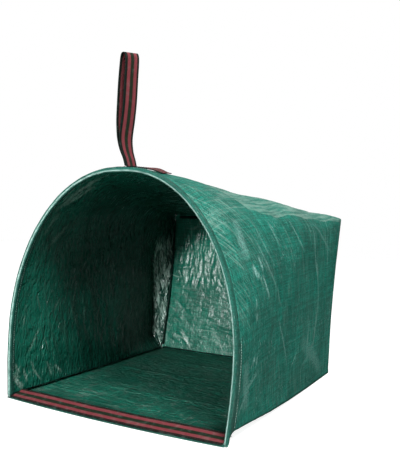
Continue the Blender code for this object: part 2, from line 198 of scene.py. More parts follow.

# Rubbed lines of the walls in millimetres, the brightest of them painted glints: y and height of each point,
# width; and how strongly they show
WALL_RUBS_AND_GLINTS = strokes(1.0, (
    (-212, 385, -224, 345, -230, 305, 12, 0.42),
    (-219, 366, -218, 330, 3, 0.3),
    (-163, 378, -150, 331, -125, 296, 3.2, 0.3),
    (-94, 384, -91, 358, -78, 330, 4.2, 0.4),
    (-2, 386, 17, 348, 46, 313, 4, 0.34),
    (116, 384, 116, 327, 157, 249, 174, 190, 5, 0.36),
    (128, 380, 187, 351, 268, 310, 4.8, 0.3),
    (240, 356, 242, 309, 238, 260, 4, 0.34),
    (-178, 345, -154, 293, -118, 248, 4.4, 0.4),
    (-186, 313, -176, 284, 4.8, 0.95),
    (-213, 297, -201, 271, 5, 0.95),
    (-188, 277, -160, 235, 4.4, 0.9),
    (169, 240, 174, 187, 156, 145, 156, 100, 120, 83, 70, 55, 5.8, 0.34),
    (-116, 254, -84, 210, 3.8, 0.3),
    (-97, 190, -37, 112, -24, 78, 4.2, 0.34),
    (-216, 214, -218, 198, 4, 0.8),
    (-219, 240, -218, 222, 3.2, 0.6),
    (-200, 134, -202, 118, 4, 0.8),
    (-220, 138, -221, 124, 3.6, 0.75),
    (-190, 106, -239, 82, -268, 36, 3.6, 0.55),
    (30, 100, 6, 74, 3.4, 0.55),
    (112, 160, 103, 92, 5, 0.28),
    (300, 222, 287, 175, 281, 105, 4.8, 0.28),
    (-254, 135, -246, 90, -233, 35, 17, 0.36),
    (60, 120, 140, 75, 230, 15, 21, 0.26),
))

# Painted glints on creases of the coating inside the sides, the same with y and the height up the side
SIDE_CREASE_GLINTS = strokes(1.0, (
    (-212, 519, -203, 461, -217, 421, -228, 391, 8, 0.8),
    (-177, 483, -184, 436, -209, 408, 6, 0.85),
    (-245, 493, -236, 448, -243, 421, 5.5, 0.62),
    (-222, 550, -206, 500, -190, 470, 5, 0.5),
    (-150, 360, -176, 337, -207, 303, 8, 0.3),
    (-207, 388, -223, 358, -231, 336, 7, 0.5),
    (-277, 43, -270, 20, -253, 8, 7, 0.85),
    (-275, 62, -262, 40, 4, 0.6),
    (-199, 12, -218, 33, -227, 59, 4, 0.5),
    (-241, 17, -251, 49, 4.5, 0.6),
    (-156, 38, -132, 16, 4.5, 0.42),
    (-179, 50, -164, 16, 4, 0.38),
    (-142, 189, -156, 164, 2.6, 0.24),
    (-87, 220, -96, 179, -107, 144, 3.2, 0.22),
    (-48, 174, -59, 139, -53, 117, 3.4, 0.16),
    (-203, 130, -218, 105, -237, 79, 3.6, 0.38),
    (-213, 200, -202, 169, 3, 0.24),
    (-91, 143, -85, 120, 3, 0.2),
    (80, 83, 75, 51, 3.6, 0.14),
    (-247, 164, -251, 137, 3, 0.28),
    (-188, 104, -179, 86, 3, 0.34),
))

# Painted glints on creases of the rear's coating, the same with x and height
REAR_CREASE_GLINTS = strokes(1.0, (
    (-255, 217, -232, 211, -211, 208, 2.4, 0.75),
    (-202, 232, -194, 209, -195, 191, 6, 0.8),
    (-196, 320, -191, 296, -195, 269, -207, 256, 3, 0.62),
    (-159, 262, -163, 235, -150, 212, 3.6, 0.66),
    (-147, 272, -149, 236, -139, 207, 3.4, 0.8),
    (-131, 281, -125, 255, -132, 231, -126, 208, 4, 0.74),
    (-120, 300, -120, 273, 3.4, 0.62),
    (-198, 379, -197, 366, 3, 0.5),
    (-167, 381, -164, 363, 3.2, 0.62),
    (-95, 260, -86, 234, -76, 206, 4.6, 0.76),
    (-102, 236, -95, 199, 3.4, 0.6),
    (-174, 246, -168, 223, -160, 185, 3, 0.6),
    (-243, 315, -249, 278, -252, 248, 3.6, 0.3),
    (-215, 317, -213, 305, 3, 0.34),
    (-206, 43, -182, 37, -163, 24, -155, 11, 3.4, 0.8),
    (-144, 64, -112, 66, -79, 64, 2.6, 0.6),
    (-96, 47, -69, 36, -52, 24, 5, 0.62),
    (-37, 59, -30, 24, 3.4, 0.5),
    (-67, 45, -55, 29, 3, 0.6),
    (-184, 121, -170, 122, 2.8, 0.55),
    (-220, 91, -203, 82, 3, 0.45),
    (-238, 122, -216, 111, 3, 0.36),
    (-195, 167, -185, 150, 3.2, 0.4),
    (-142, 320, -137, 305, 3, 0.45),
))


def linear(red, green, blue):
    """A colour from 0 to 255 a channel, as the linear colour that a shader takes."""
    return tuple(((part / 255 + 0.055) / 1.055) ** 2.4 for part in (red, green, blue))


def size_property(name, description, default):
    return bpy.props.FloatProperty(
        name=name, description=description, default=default, unit="LENGTH", precision=5
    )


def colour_property(name, description, colour):
    return bpy.props.FloatVectorProperty(
        name=name, description=description, default=linear(*colour), subtype="COLOR", size=3, min=0.0, max=1.0
    )


class GardenBagSizes(bpy.types.PropertyGroup):
    """Sizes that a user may want to change."""

    cloth_thickness: size_property("Cloth", "Thickness of the woven cloth", 0.0005)
    weave_pitch: size_property("Weave", "Width of one woven tape of the cloth", 0.0028)
    hem_flange: size_property("Hem", "Length of the hem behind the hoop's sleeve", 0.0125)
    stitch_length: size_property("Stitch", "Length of one stitch", 0.0034)
    stitch_gap: size_property("Stitch gap", "Space between two stitches", 0.0012)
    thread_width: size_property("Thread", "Width of the sewing thread", 0.0008)
    tape_width: size_property("Seam tape", "Width of the binding on the inner seams", 0.0105)
    tape_thickness: size_property("Tape thickness", "Thickness of the bound seams", 0.0018)
    strap_thickness: size_property("Strap", "Thickness of the webbing", 0.0016)
    sill_bow: size_property("Sill bow", "How far the sill's middle bows forwards", 0.010)


class GardenBagColours(bpy.types.PropertyGroup):
    """Colours that a user may want to change."""

    outside: colour_property("Outside", "Woven outside of the cloth", (25, 106, 91))
    inside: colour_property("Inside", "Coated inside of the cloth", (19, 98, 80))
    # Haze is also the colour of painted light: the sheen band, the turned strips and painted glints
    haze: colour_property("Haze", "Pale rubbing on the cloth", (148, 178, 166))
    # The shine colour paints the palest rubbed lines and painted glints
    shine: colour_property("Shine", "Brightest rubbed spots", (150, 196, 188))
    hem: colour_property("Hem", "Cloth round the hoop and the sill", (22, 80, 69))
    # The hem fold's colour is partly wear and partly a painted highlight along its rounded edge
    hem_fold: colour_property("Hem fold", "Worn fold at the front of the hem", (170, 204, 196))
    soil: colour_property("Soil", "Dried soil and dust rubbed into the floor", (92, 104, 98))
    tape: colour_property("Tape", "Binding on the seams", (8, 30, 26))
    red: colour_property("Red stripe", "Red stripes of the webbing", (132, 62, 68))
    centre: colour_property("Centre stripe", "Dark stripe in the middle of the webbing", (30, 40, 28))
    edge: colour_property("Edge stripe", "Dark edges of the webbing", (12, 22, 18))
    hem_thread: colour_property("Hem thread", "Thread of the hem", (150, 188, 176))
    strap_thread: colour_property("Strap thread", "Thread of the straps", (70, 30, 34))
    rod: colour_property("Rod", "Hoop rod", (60, 64, 62))
    plastic: colour_property("Plastic", "Batten and rod tips", (30, 33, 33))
    stage: colour_property("Stage", "Floor of the stage", (176, 176, 174))


def blend(start, end, share):
    return start + (end - start) * share


def smooth(low, high, value):
    """0 below low, 1 above high and a soft step between them."""
    share = np.clip((value - low) / (high - low), 0.0, 1.0)
    return share * share * (3 - 2 * share)


def along_table(table, value):
    """The value of a table of pairs at a place between them."""
    places, values = zip(*table)
    return np.interp(value, places, values)


def running(points):
    """The length run from the first point to each one."""
    lengths = [0.0]
    for before, after in zip(points, points[1:]):
        lengths.append(lengths[-1] + (Vector(after) - Vector(before)).length)
    return lengths


def directions(points):
    """The direction of a line at each of its points."""
    last = len(points) - 1
    return [(points[min(n + 1, last)] - points[max(n - 1, 0)]).normalized() for n in range(last + 1)]


@lru_cache(maxsize=None)
def outline(share, inset=0.0):
    """The bag's outer line from the right foot to the top, at a share of its depth.

    Gives the running length, x and z of its points, and the length at which the shoulder turns.
    """
    half = blend(MOUTH_WIDTH, REAR_WIDTH, share) / 2 - inset
    bulge = MOUTH_BULGE * (1 - share)
    height = blend(MOUTH_HEIGHT, REAR_HEIGHT, share) - inset
    widest = half + bulge
    round_x = max(blend(widest - MOUTH_CROWN_FLAT / 2, REAR_CORNER, share**0.85), REAR_CORNER)
    round_z = max(blend(MOUTH_HEIGHT - MOUTH_LEG - inset, REAR_CORNER, share**0.7), REAR_CORNER)
    leg = height - round_z
    rise = np.linspace(0, 1, LEG_STEPS + 1)[:-1]
    turn = np.linspace(0, pi / 2, TURN_STEPS + 1)
    bend = widest - round_x + round_x * np.cos(turn)
    x = np.concatenate((half + bulge * np.sin(pi / 2 * rise), bend, [0.0]))
    z = np.concatenate((WALL_FOOT + (leg - WALL_FOOT) * rise, leg + round_z * np.sin(turn), [height]))
    run = np.concatenate(([0.0], np.cumsum(np.hypot(np.diff(x), np.diff(z)))))
    return run, x, z, run[LEG_STEPS + TURN_STEPS // 2]


def settle(x, y, z, share):
    """A point of the sewn shape after the cloth has sagged, waved and lifted."""
    high = z / blend(MOUTH_HEIGHT, REAR_HEIGHT, share)
    bell = smooth(0.10, 0.60, share) * (1 - smooth(0.88, 1.0, share))
    sag = 0.009 * smooth(0.80, 0.97, high) * bell * max(1 - (x / 0.22) ** 2, 0.0)
    wave = along_table(SHOULDER_WAVE, share) * smooth(0.6, 0.9, high) * smooth(0.07, 0.14, abs(x))
    foot = 0.0010 * max(1 - z / 0.02, 0.0)
    drawn = waist(z) * smooth(0.70, 1.0, share) * min(abs(x) / 0.2, 1.0) * (1 if x > 0 else -1)
    return Vector((x - drawn, y, z + wave - sag - foot + side_lift(y, x > 0) * max(1 - z / 0.10, 0.0) ** 2))


def depth_of(share, front, height_share):
    """The y of a point: the mouth's top stands back, and the rear's top stands out."""
    return blend(front, WRAP_REAR_Y, share) + blend(MOUTH_SETBACK, REAR_OVERHANG, share) * height_share


def rear_y(z):
    return WRAP_REAR_Y + REAR_OVERHANG * z / REAR_HEIGHT


def waist(z):
    return float(along_table(REAR_WAIST, z))


def side_lift(y, right):
    return float(along_table(SIDE_LIFT, y)) * (1.0 if right else LEFT_LIFT)


def sill_front(x, bow):
    """The y of the sill's front edge, bowed forwards in the middle."""
    return FRONT_Y + 0.0006 - bow * max(1 - (x / SILL_BEND_HALF) ** 2, 0.0)


def turned_crest(z):
    """The share of the depth at which each side turns in towards its rear seam."""
    return 0.983 - 0.278 * z + 0.003 * ripple(z * 14.0, z * 0.0, 3.9)


def roof_point(share, across):
    """A point of the settled cloth over the bag's upper side."""
    _, xs, zs, _ = outline(share)
    z = float(np.interp(-abs(across), -xs[LEG_STEPS:], zs[LEG_STEPS:]))
    height = blend(MOUTH_HEIGHT, REAR_HEIGHT, share)
    return settle(across, depth_of(share, WRAP_FRONT_Y, z / height), z, share)


def roof_normal(share, across):
    side = roof_point(share, across + 0.002) - roof_point(share, across - 0.002)
    back = roof_point(share + 0.003, across) - roof_point(share - 0.003, across)
    return side.cross(back).normalized()


def ripple(across, along, seed, octaves=2):
    """Smooth noise over two arrays of numbers, from about -1 to 1."""
    return np.array([
        noise.fractal((a, b, seed), 1.0, 2.0, octaves) for a, b in zip(across.tolist(), along.tolist())
    ])


def crumple(across, along, seed):
    """Noise with sharp crests, as in a coated cloth that has been folded."""
    return 0.4 - np.abs(ripple(across, along, seed, 1)) * 1.6


def along_line(across, along, points):
    """How far each spot lies to the side of a softly bent line, and at which share of the line."""
    for _ in range(3):
        # Cut the corners of the line, so that it bends softly
        cut = [points[0]]
        for a, b in zip(points, points[1:]):
            cut.append((a[0] * 0.75 + b[0] * 0.25, a[1] * 0.75 + b[1] * 0.25))
            cut.append((a[0] * 0.25 + b[0] * 0.75, a[1] * 0.25 + b[1] * 0.75))
        points = cut + [points[-1]]
    nearest = np.full(len(across), 1e9)
    place = np.zeros(len(across))
    run = 0.0
    total = sum(hypot(b[0] - a[0], b[1] - a[1]) for a, b in zip(points, points[1:]))
    for (a0, a1), (b0, b1) in zip(points, points[1:]):
        length = hypot(b0 - a0, b1 - a1)
        share = np.clip(((across - a0) * (b0 - a0) + (along - a1) * (b1 - a1)) / length**2, 0, 1)
        distance = np.hypot(across - a0 - (b0 - a0) * share, along - a1 - (b1 - a1) * share)
        distance *= np.where((across - a0) * (b1 - a1) > (along - a1) * (b0 - a0), 1.0, -1.0)
        closer = np.abs(distance) < np.abs(nearest)
        nearest = np.where(closer, distance, nearest)
        place = np.where(closer, (run + share * length) / total, place)
        run += length
    return nearest, np.clip(place, 0.0, 1.0)


def folds(across, along, lines, power=1.5):
    """How far folds along lines make each spot stand out; each fold fades at its ends."""
    height = np.zeros(len(across))
    for points, width, depth in lines:
        side, place = along_line(across, along, points)
        height += depth * np.sin(place * pi) ** 0.7 * np.exp(-((np.abs(side) / width) ** power))
    return height


def paint(piece, **values):
    """Store numbers at each corner of a piece, for its material to read."""
    for name, numbers in values.items():
        layer = piece.data.attributes.new(name, "FLOAT", "POINT")
        layer.data.foreach_set("value", np.asarray(numbers, dtype=np.float32))


def paint_line_marks(piece, kind, across, along, lines):
    """Store how many widths each corner lies from the nearest line, and how strongly that line shows."""
    nearest = np.full(len(across), 9.0)
    strength = np.zeros(len(across))
    for points, width, share in lines:
        side, place = along_line(across, along, points)
        closer = np.abs(side / width) < np.abs(nearest)
        nearest = np.where(closer, side / width, nearest)
        strength = np.where(closer, share * np.sin(place * pi) ** 0.5, strength)
    strength = strength * (1 - smooth(2.0, 3.0, np.abs(nearest)))
    paint(piece, **{f"{kind}_side": nearest, f"{kind}_strength": strength})


def add_object(name, data):
    holder = bpy.data.objects.new(name, data)
    bpy.context.scene.collection.objects.link(holder)
    return holder


def to_mesh(name, bm):
    mesh = bpy.data.meshes.new(name)
    bm.to_mesh(mesh)
    bm.free()
    return mesh


def add_piece(name, bm, materials, replaces=None, body="bag"):
    """Turn a bmesh into a smooth piece that rides on a body."""
    piece = add_object(name, to_mesh(name, bm))
    piece.data.shade_smooth()
    for material in materials:
        piece.data.materials.append(material)
    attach(piece, body)
    if replaces:
        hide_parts(replaces)
    return piece


def flat_grid(columns, rows, place):
    """A grid of cloth whose corners place sets from their shares; its UVs are flat metres.

    place gives a point and a row of numbers, of which the first two are the flat place.
    """
    bm = bmesh.new()
    bmesh.ops.create_grid(bm, x_segments=columns, y_segments=rows, size=0.5)
    bm.verts.index_update()
    spots = []
    for vertex in bm.verts:
        vertex.co, spot = place(vertex.co.x + 0.5, vertex.co.y + 0.5)
        spots.append(spot)
    layer = bm.loops.layers.uv.new("UVMap")
    for face in bm.faces:
        for loop in face.loops:
            loop[layer].uv = spots[loop.vert.index][:2]
    bm.normal_update()
    return bm, np.array(spots)


def push_out(bm, heights):
    """Move each corner along its normal."""
    for vertex, height in zip(bm.verts, heights.tolist()):
        vertex.co += vertex.normal * height


def face_away(bm, middle):
    """Make a sheet's faces look away from a point."""
    away = sum((face.calc_center_median() - middle).dot(face.normal) for face in bm.faces)
    if away < 0:
        bmesh.ops.reverse_faces(bm, faces=bm.faces)
        bm.normal_update()


def thicken(piece, sizes, inside=0):
    """Give a sheet its thickness inwards; inside is the step to the inner side's material."""
    solid = piece.modifiers.new("Cloth thickness", "SOLIDIFY")
    solid.thickness = sizes.cloth_thickness
    solid.offset = -1.0
    solid.use_rim = True
    solid.material_offset = inside


def add_panel(name, bm, relief, lining, replaces, sizes, colours):
    """A cut of the cloth with its relief, woven outside and coated inside."""
    face_away(bm, INSIDE)
    push_out(bm, relief)
    materials = [cloth_material(finish, sizes, colours) for finish in ("woven_outside", lining)]
    piece = add_piece(name, bm, materials, replaces)
    thicken(piece, sizes, 1)
    return piece


def sweep(name, frames, profile, material, replaces, body="bag"):
    """A closed section carried along frames of place, across and out, with its ends filled."""
    ring = list(profile) + [profile[0]]
    runs = running([spot for spot, _, _ in frames])
    columns, rows = len(ring) - 1, len(frames) - 1

    def place(column, row):
        here = round(row * rows)
        side, high = ring[round(column * columns)]
        spot, across, out = frames[here]
        return spot + across * side + out * high, (runs[here], side)

    bm, _ = flat_grid(columns, rows, place)
    bmesh.ops.remove_doubles(bm, verts=bm.verts, dist=0.000001)
    bmesh.ops.holes_fill(bm, edges=[edge for edge in bm.edges if edge.is_boundary], sides=len(ring) + 2)
    bmesh.ops.recalc_face_normals(bm, faces=bm.faces)
    return add_piece(name, bm, [material], replaces, body)


def strap_profile(thickness):
    """A webbing's section: flat with rounded edges, and a low ridge at each change of stripe."""
    top = []
    for side in np.linspace(-STRAP_HALF + 0.0006, STRAP_HALF - 0.0006, 25):
        share = abs(side) / STRAP_HALF
        ridge = 0.00012 * sum(np.exp(-(((share - line) / 0.04) ** 2)) for line in (0.16, 0.72, 0.97))
        top.append((float(side), thickness / 2 + float(ridge)))
    under = [(side, -high) for side, high in reversed(top)]
    return [(-STRAP_HALF, 0.0), *top, (STRAP_HALF, 0.0), *under]


def tape_profile(width, thickness):
    """A folded binding's section, standing on its sewn edge."""
    steps = [(0.0, 0.30), (0.12, 0.42), (0.5, 0.46), (0.85, 0.56), (0.97, 0.42), (1.0, 0.0)]
    side = [(width * a, thickness * b) for a, b in steps]
    return side + [(a, -b) for a, b in reversed(side[:-1])]


def stitch_row(bm, points, normals, sizes):
    """Sew a row of round stitches along points, each lying on the cloth."""
    ball = bmesh.new()
    bmesh.ops.create_uvsphere(ball, u_segments=6, v_segments=4, radius=1.0)
    pattern = to_mesh("one_stitch", ball)
    scale = Matrix.Diagonal((sizes.stitch_length / 2, sizes.thread_width / 2, sizes.thread_width * 0.45, 1.0))
    step = sizes.stitch_length + sizes.stitch_gap
    runs = running(points)
    here = 0
    for number in range(int(runs[-1] / step)):
        want = (number + 0.5) * step
        while runs[here + 1] < want:
            here += 1
        share = (want - runs[here]) / (runs[here + 1] - runs[here])
        along = (points[here + 1] - points[here]).normalized()
        out = normals[here].lerp(normals[here + 1], share)
        out = (out - along * out.dot(along)).normalized()
        turn = Matrix((along, out.cross(along), out)).transposed().to_4x4()
        place = Matrix.Translation(points[here].lerp(points[here + 1], share))
        stitch = pattern.copy()
        stitch.transform(place @ turn @ scale)
        bm.from_mesh(stitch)
        bpy.data.meshes.remove(stitch)
    bpy.data.meshes.remove(pattern)


def sew_along(bm, frames, side, lift, sizes, facing=1):
    """A row of stitches along frames, some way across and out; facing is -1 where it looks inwards."""
    points = [spot + across * side + out * lift for spot, across, out in frames]
    stitch_row(bm, points, [out * facing for _, _, out in frames], sizes)


def on_strap(frames, runs, run, side, lift):
    """A point and normal on a strap, run along it and side across it."""
    here = next((number for number, length in enumerate(runs[1:]) if length >= run), len(runs) - 2)
    share = min((run - runs[here]) / (runs[here + 1] - runs[here]), 1.0)
    spot, across, out = (a.lerp(b, share) for a, b in zip(frames[here], frames[here + 1]))
    return spot + across * side + out * lift, out


def box_stitching(bm, frames, start, end, sizes):
    """A sewn box with a cross in it, on a strap's tail."""
    half = STRAP_HALF - 0.004
    lift = sizes.strap_thickness / 2 + 0.0001
    runs = running([spot for spot, _, _ in frames])
    a, b, c, d = (start, -half), (end, -half), (end, half), (start, half)
    for (run_a, side_a), (run_b, side_b) in ((a, b), (b, c), (c, d), (d, a), (a, c), (b, d)):
        shares = [step / 24 for step in range(25)]
        spots = [on_strap(frames, runs, blend(run_a, run_b, share), blend(side_a, side_b, share), lift)
                 for share in shares]
        stitch_row(bm, [spot for spot, _ in spots], [out for _, out in spots], sizes)


class Nodes:
    """A node tree, with short ways to add what the finishes are made of."""

    def __init__(self, tree):
        self.tree = tree

    def give(self, value, socket):
        """Lead another node's output to a socket, or set the socket to a number or a colour."""
        if isinstance(value, bpy.types.NodeSocket):
            self.tree.links.new(value, socket)
        else:
            socket.default_value = value

    def put(self, kind, values, **settings):
        node = self.tree.nodes.new("ShaderNode" + kind)
        for name, value in settings.items():
            setattr(node, name, value)
        for key, value in values.items():
            self.give(value, node.inputs[key])
        return node.outputs

    def maths(self, operation, *values):
        return self.put("Math", dict(enumerate(values)), operation=operation)[0]

    def times(self, first, *others):
        for other in others:
            first = self.maths("MULTIPLY", first, other)
        return first

    def times_plus(self, value, factor, extra):
        return self.maths("MULTIPLY_ADD", value, factor, extra)

    def most(self, first, second):
        return self.maths("MAXIMUM", first, second)

    def wave(self, angle):
        return self.maths("SINE", angle)

    def choose(self, share, first, second):
        return self.put("Mix", {0: share, 2: first, 3: second})[0]

    def mix(self, share, first, second):
        """A colour between two colours."""
        values = {0: share}
        for socket, value in ((6, first), (7, second)):
            values[socket] = value if isinstance(value, bpy.types.NodeSocket) else (*value, 1.0)
        return self.put("Mix", values, data_type="RGBA")[2]

    def ramp(self, value, low, high, start=0.0, end=1.0):
        """A soft step from start to end between low and high."""
        values = {"Value": value, "From Min": low, "From Max": high, "To Min": start, "To Max": end}
        return self.put("MapRange", values, interpolation_type="SMOOTHSTEP")[0]

    def noise(self, vector, scale, detail=3.0, rough=0.55, twist=0.0, kind="FBM"):
        """Noise from 0 to 1; its scale is one number, or one across and one along."""
        if isinstance(scale, tuple):
            vector = self.put("Mapping", {"Vector": vector, "Scale": (*scale, 1.0)})[0]
            scale = 1.0
        values = {"Vector": vector, "Scale": scale, "Detail": detail, "Roughness": rough, "Distortion": twist}
        return self.put("TexNoise", values, noise_type=kind)[0]

    def patches(self, vector, scale, low, high, start=0.0, end=1.0, **noise):
        """Patches of noise, from start below low to end above high."""
        return self.ramp(self.noise(vector, scale, **noise), low, high, start, end)

    def parts(self, vector):
        return list(self.put("SeparateXYZ", {0: vector}))[:2]

    def joined(self, *values):
        return self.put("CombineXYZ", dict(enumerate(values)))[0]

    def scaled(self, vector, factor):
        return self.put("VectorMath", {0: vector, "Scale": factor}, operation="SCALE")[0]

    def painted(self, name):
        return self.put("Attribute", {}, attribute_name=name)["Fac"]

    def flat(self):
        return self.put("UVMap", {}, uv_map="UVMap")[0]

    def bump(self, height, distance, **under):
        return self.put("Bump", {"Height": height, "Distance": distance, "Strength": 1.0} | under)[0]


def shader_group(name, inputs, outputs):
    """Make a function that gives a shader group, and fills it when it is first wanted."""
    def wrap(fill):
        def group():
            tree = bpy.data.node_groups.get(name)
            if tree:
                return tree
            tree = bpy.data.node_groups.new(name, "ShaderNodeTree")
            tree.interface.new_socket(name="Vector", in_out="INPUT", socket_type="NodeSocketVector")
            for socket, value in inputs.items():
                made = tree.interface.new_socket(name=socket, in_out="INPUT", socket_type="NodeSocketFloat")
                made.default_value = value
            for socket in outputs:
                tree.interface.new_socket(name=socket, in_out="OUTPUT", socket_type="NodeSocketFloat")
            got, out = tree.nodes.new("NodeGroupInput").outputs, tree.nodes.new("NodeGroupOutput").inputs
            for socket, value in zip(outputs, fill(Nodes(tree), got)):
                tree.links.new(value, out[socket])
            return tree
        return group
    return wrap


@shader_group("Woven tapes", {"Pitch": 0.0028}, ("Height", "Shade"))
def weave_group(nodes, got):
    """Flat tapes over and under each other: their height, and a shade for each tape."""
    across, along = nodes.parts(nodes.scaled(got["Vector"], nodes.maths("DIVIDE", 1.0, got["Pitch"])))
    column, row = nodes.maths("FLOOR", across), nodes.maths("FLOOR", along)
    over = nodes.times(nodes.maths("FRACT", nodes.times(nodes.maths("ADD", column, row), 0.5)), 2.0)
    domes = [nodes.wave(nodes.times(nodes.maths("FRACT", way), pi)) for way in (across, along)]
    warp = nodes.times(domes[0], nodes.times_plus(domes[1], 0.5, 0.5))
    weft = nodes.times(domes[1], nodes.times_plus(domes[0], 0.5, 0.5))
    shades = [nodes.put("TexWhiteNoise", {"W": tape}, noise_dimensions="1D")[0]
              for tape in (column, nodes.maths("ADD", row, 0.37))]
    return nodes.choose(over, warp, weft), nodes.choose(over, *shades)


@shader_group("Rubbed haze", {"Seed": 0.0, "Lean": 0.0, "Upright": 0.6, "Roof": 0.0}, ("Mask", "Spots"))
def haze_group(nodes, got):
    """Pale streaks where the coating has been rubbed and folded, and spots that are painted glints.

    The streaks lean by Lean at the front and stand upright from Upright on; above Roof they run lengthwise.
    """
    across, along = nodes.parts(got["Vector"])
    reach = nodes.maths("ABSOLUTE", across)
    fade = nodes.most(nodes.maths("SUBTRACT", 1.0, nodes.maths("DIVIDE", along, got["Upright"])), 0.0)
    thin = nodes.maths("SUBTRACT", along, nodes.times(reach, got["Lean"], fade))
    laid, plain = nodes.joined(across, thin, got["Seed"]), nodes.joined(across, along, got["Seed"])
    wide = nodes.patches(laid, (12.0, 120.0), 0.52, 0.80, rough=0.6, twist=0.3)
    fine = nodes.patches(laid, (30.0, 300.0), 0.58, 0.84, 0.0, 0.8, detail=2.0, rough=0.6, twist=0.2)
    brushed = nodes.patches(plain, (170.0, 10.0), 0.42, 0.72, rough=0.6)
    roof = nodes.ramp(nodes.maths("SUBTRACT", reach, got["Roof"]), 0.0, 0.06, 1.0, 0.0)
    both = nodes.choose(roof, nodes.most(wide, fine), brushed)
    clusters = nodes.patches(plain, 6.0, 0.40, 0.66, 0.18, rough=0.6, twist=0.5)
    grain = nodes.patches(plain, 380.0, 0.35, 0.70, 0.60, detail=2.0)
    # Spots: pale dabs painted as glints, in place of highlights
    glint_dabs = nodes.patches(laid, (45.0, 160.0), 0.66, 0.76, detail=2.0, rough=0.5)
    small_glints = nodes.patches(laid, (110.0, 330.0), 0.58, 0.74, 0.0, 0.8, detail=2.0, rough=0.5)
    places = nodes.patches(plain, 7.0, 0.42, 0.62, 0.15, detail=2.0)
    return nodes.times(both, clusters, grain), nodes.times(nodes.most(glint_dabs, small_glints), places)


@shader_group(
    "Worn places", {"Side": 0.0, "Strength": 0.0, "Band": 0.0, "Edge": 0.0}, ("Rubbed", "Band", "Dark")
)
def wear_and_light_group(nodes, got):
    """Rubbed lines and painted glints, painted sheen along the shoulder and painted shade at sewn edges, from
    what the corners store.
    """
    ragged = nodes.times_plus(nodes.noise(got["Vector"], 130.0), 1.3, -0.65)
    away = nodes.maths("ABSOLUTE", nodes.maths("ADD", got["Side"], ragged))
    broken = nodes.patches(got["Vector"], 260.0, 0.38, 0.60, 0.15, rough=0.75)
    rubs_and_glints = nodes.times(nodes.ramp(away, 0.25, 1.15, 1.0, 0.0), broken, got["Strength"])
    brushed = nodes.patches(got["Vector"], (150.0, 9.0), 0.38, 0.60, 0.12, detail=4.0, rough=0.65)
    band = nodes.times(nodes.ramp(got["Band"], 0.0, 0.0035), brushed)
    return rubs_and_glints, band, nodes.ramp(got["Edge"], 0.50, 0.85)


@shader_group("Fine crinkle", {"Across": 60.0, "Along": 60.0, "Detail": 3.0}, ("Height",))
def crinkle_group(nodes, got):
    """Small creases of a coated cloth, drawn out along one way."""
    scale = nodes.joined(got["Across"], got["Along"], 1.0)
    vector = nodes.put("VectorMath", {0: got["Vector"], 1: scale}, operation="MULTIPLY")[0]
    crests = nodes.noise(vector, 1.0, got["Detail"], 0.5, 0.9, "RIDGED_MULTIFRACTAL")
    soft = nodes.noise(vector, 1.8, got["Detail"], 0.6, 1.0)
    return (nodes.times_plus(soft, 0.7, nodes.times(crests, 0.25)),)


@shader_group("Slanting streaks", {}, ("Streaks",))
def brushed_group(nodes, got):
    """Fine slanting streaks behind the hem, where hands and the ground brush the shoulder."""
    across, depth = nodes.parts(got["Vector"])
    down = nodes.maths("ABSOLUTE", across)
    away = nodes.maths("SUBTRACT", nodes.times(depth, 0.85), nodes.times(down, 0.53))
    length = nodes.maths("ADD", nodes.times(depth, 0.53), nodes.times(down, 0.85))
    slanted = nodes.joined(away, length)
    fine = nodes.patches(slanted, (330.0, 16.0), 0.46, 0.62, rough=0.6)
    broad = nodes.patches(slanted, (70.0, 9.0), 0.36, 0.60, 0.15, detail=2.0)
    front = nodes.times(nodes.ramp(depth, 0.0, 0.015), nodes.ramp(depth, 0.09, 0.19, 1.0, 0.0))
    height = nodes.times(nodes.ramp(down, 0.08, 0.16), nodes.ramp(down, 0.34, 0.46, 1.0, 0.0))
    return (nodes.times(fine, broad, front, height),)


@shader_group("Strap weave", {}, ("Red", "Edge", "Height", "Shade"))
def strap_group(nodes, got):
    """The webbing's stripes and its yarns, over run along and side across."""
    run, side = nodes.parts(got["Vector"])
    wobble = nodes.times_plus(nodes.noise(got["Vector"], 260.0, 2.0), 0.04, -0.02)
    share = nodes.maths("ADD", nodes.maths("DIVIDE", nodes.maths("ABSOLUTE", side), STRAP_HALF), wobble)
    red = nodes.times(nodes.ramp(share, 0.18, 0.32), nodes.ramp(share, 0.63, 0.75, 1.0, 0.0))
    zigzag = nodes.times(nodes.maths("PINGPONG", side, 0.0035), 460.0)
    ribs = nodes.wave(nodes.times_plus(run, tau / 0.0019, zigzag))
    yarns = nodes.wave(nodes.times(side, tau / 0.00125))
    height = nodes.times_plus(ribs, 0.30, nodes.times_plus(yarns, 0.20, 0.5))
    return red, nodes.ramp(share, 0.70, 0.77), height, nodes.noise(got["Vector"], (60.0, 900.0))


def made_once(make):
    """Make a material when its name is first asked for, and find it again after that."""
    def find(name, *values):
        if name in bpy.data.materials:
            return bpy.data.materials[name]
        material = bpy.data.materials.new(name)
        material.use_nodes = True
        make(Nodes(material.node_tree), material.node_tree.nodes["Principled BSDF"].inputs, *values)
        return material
    return find


def toned(colour, factor):
    return tuple(min(part * factor, 1.0) for part in colour)


def satin(shader, roughness, specular):
    shader["Roughness"].default_value = roughness
    shader["Specular IOR Level"].default_value = specular
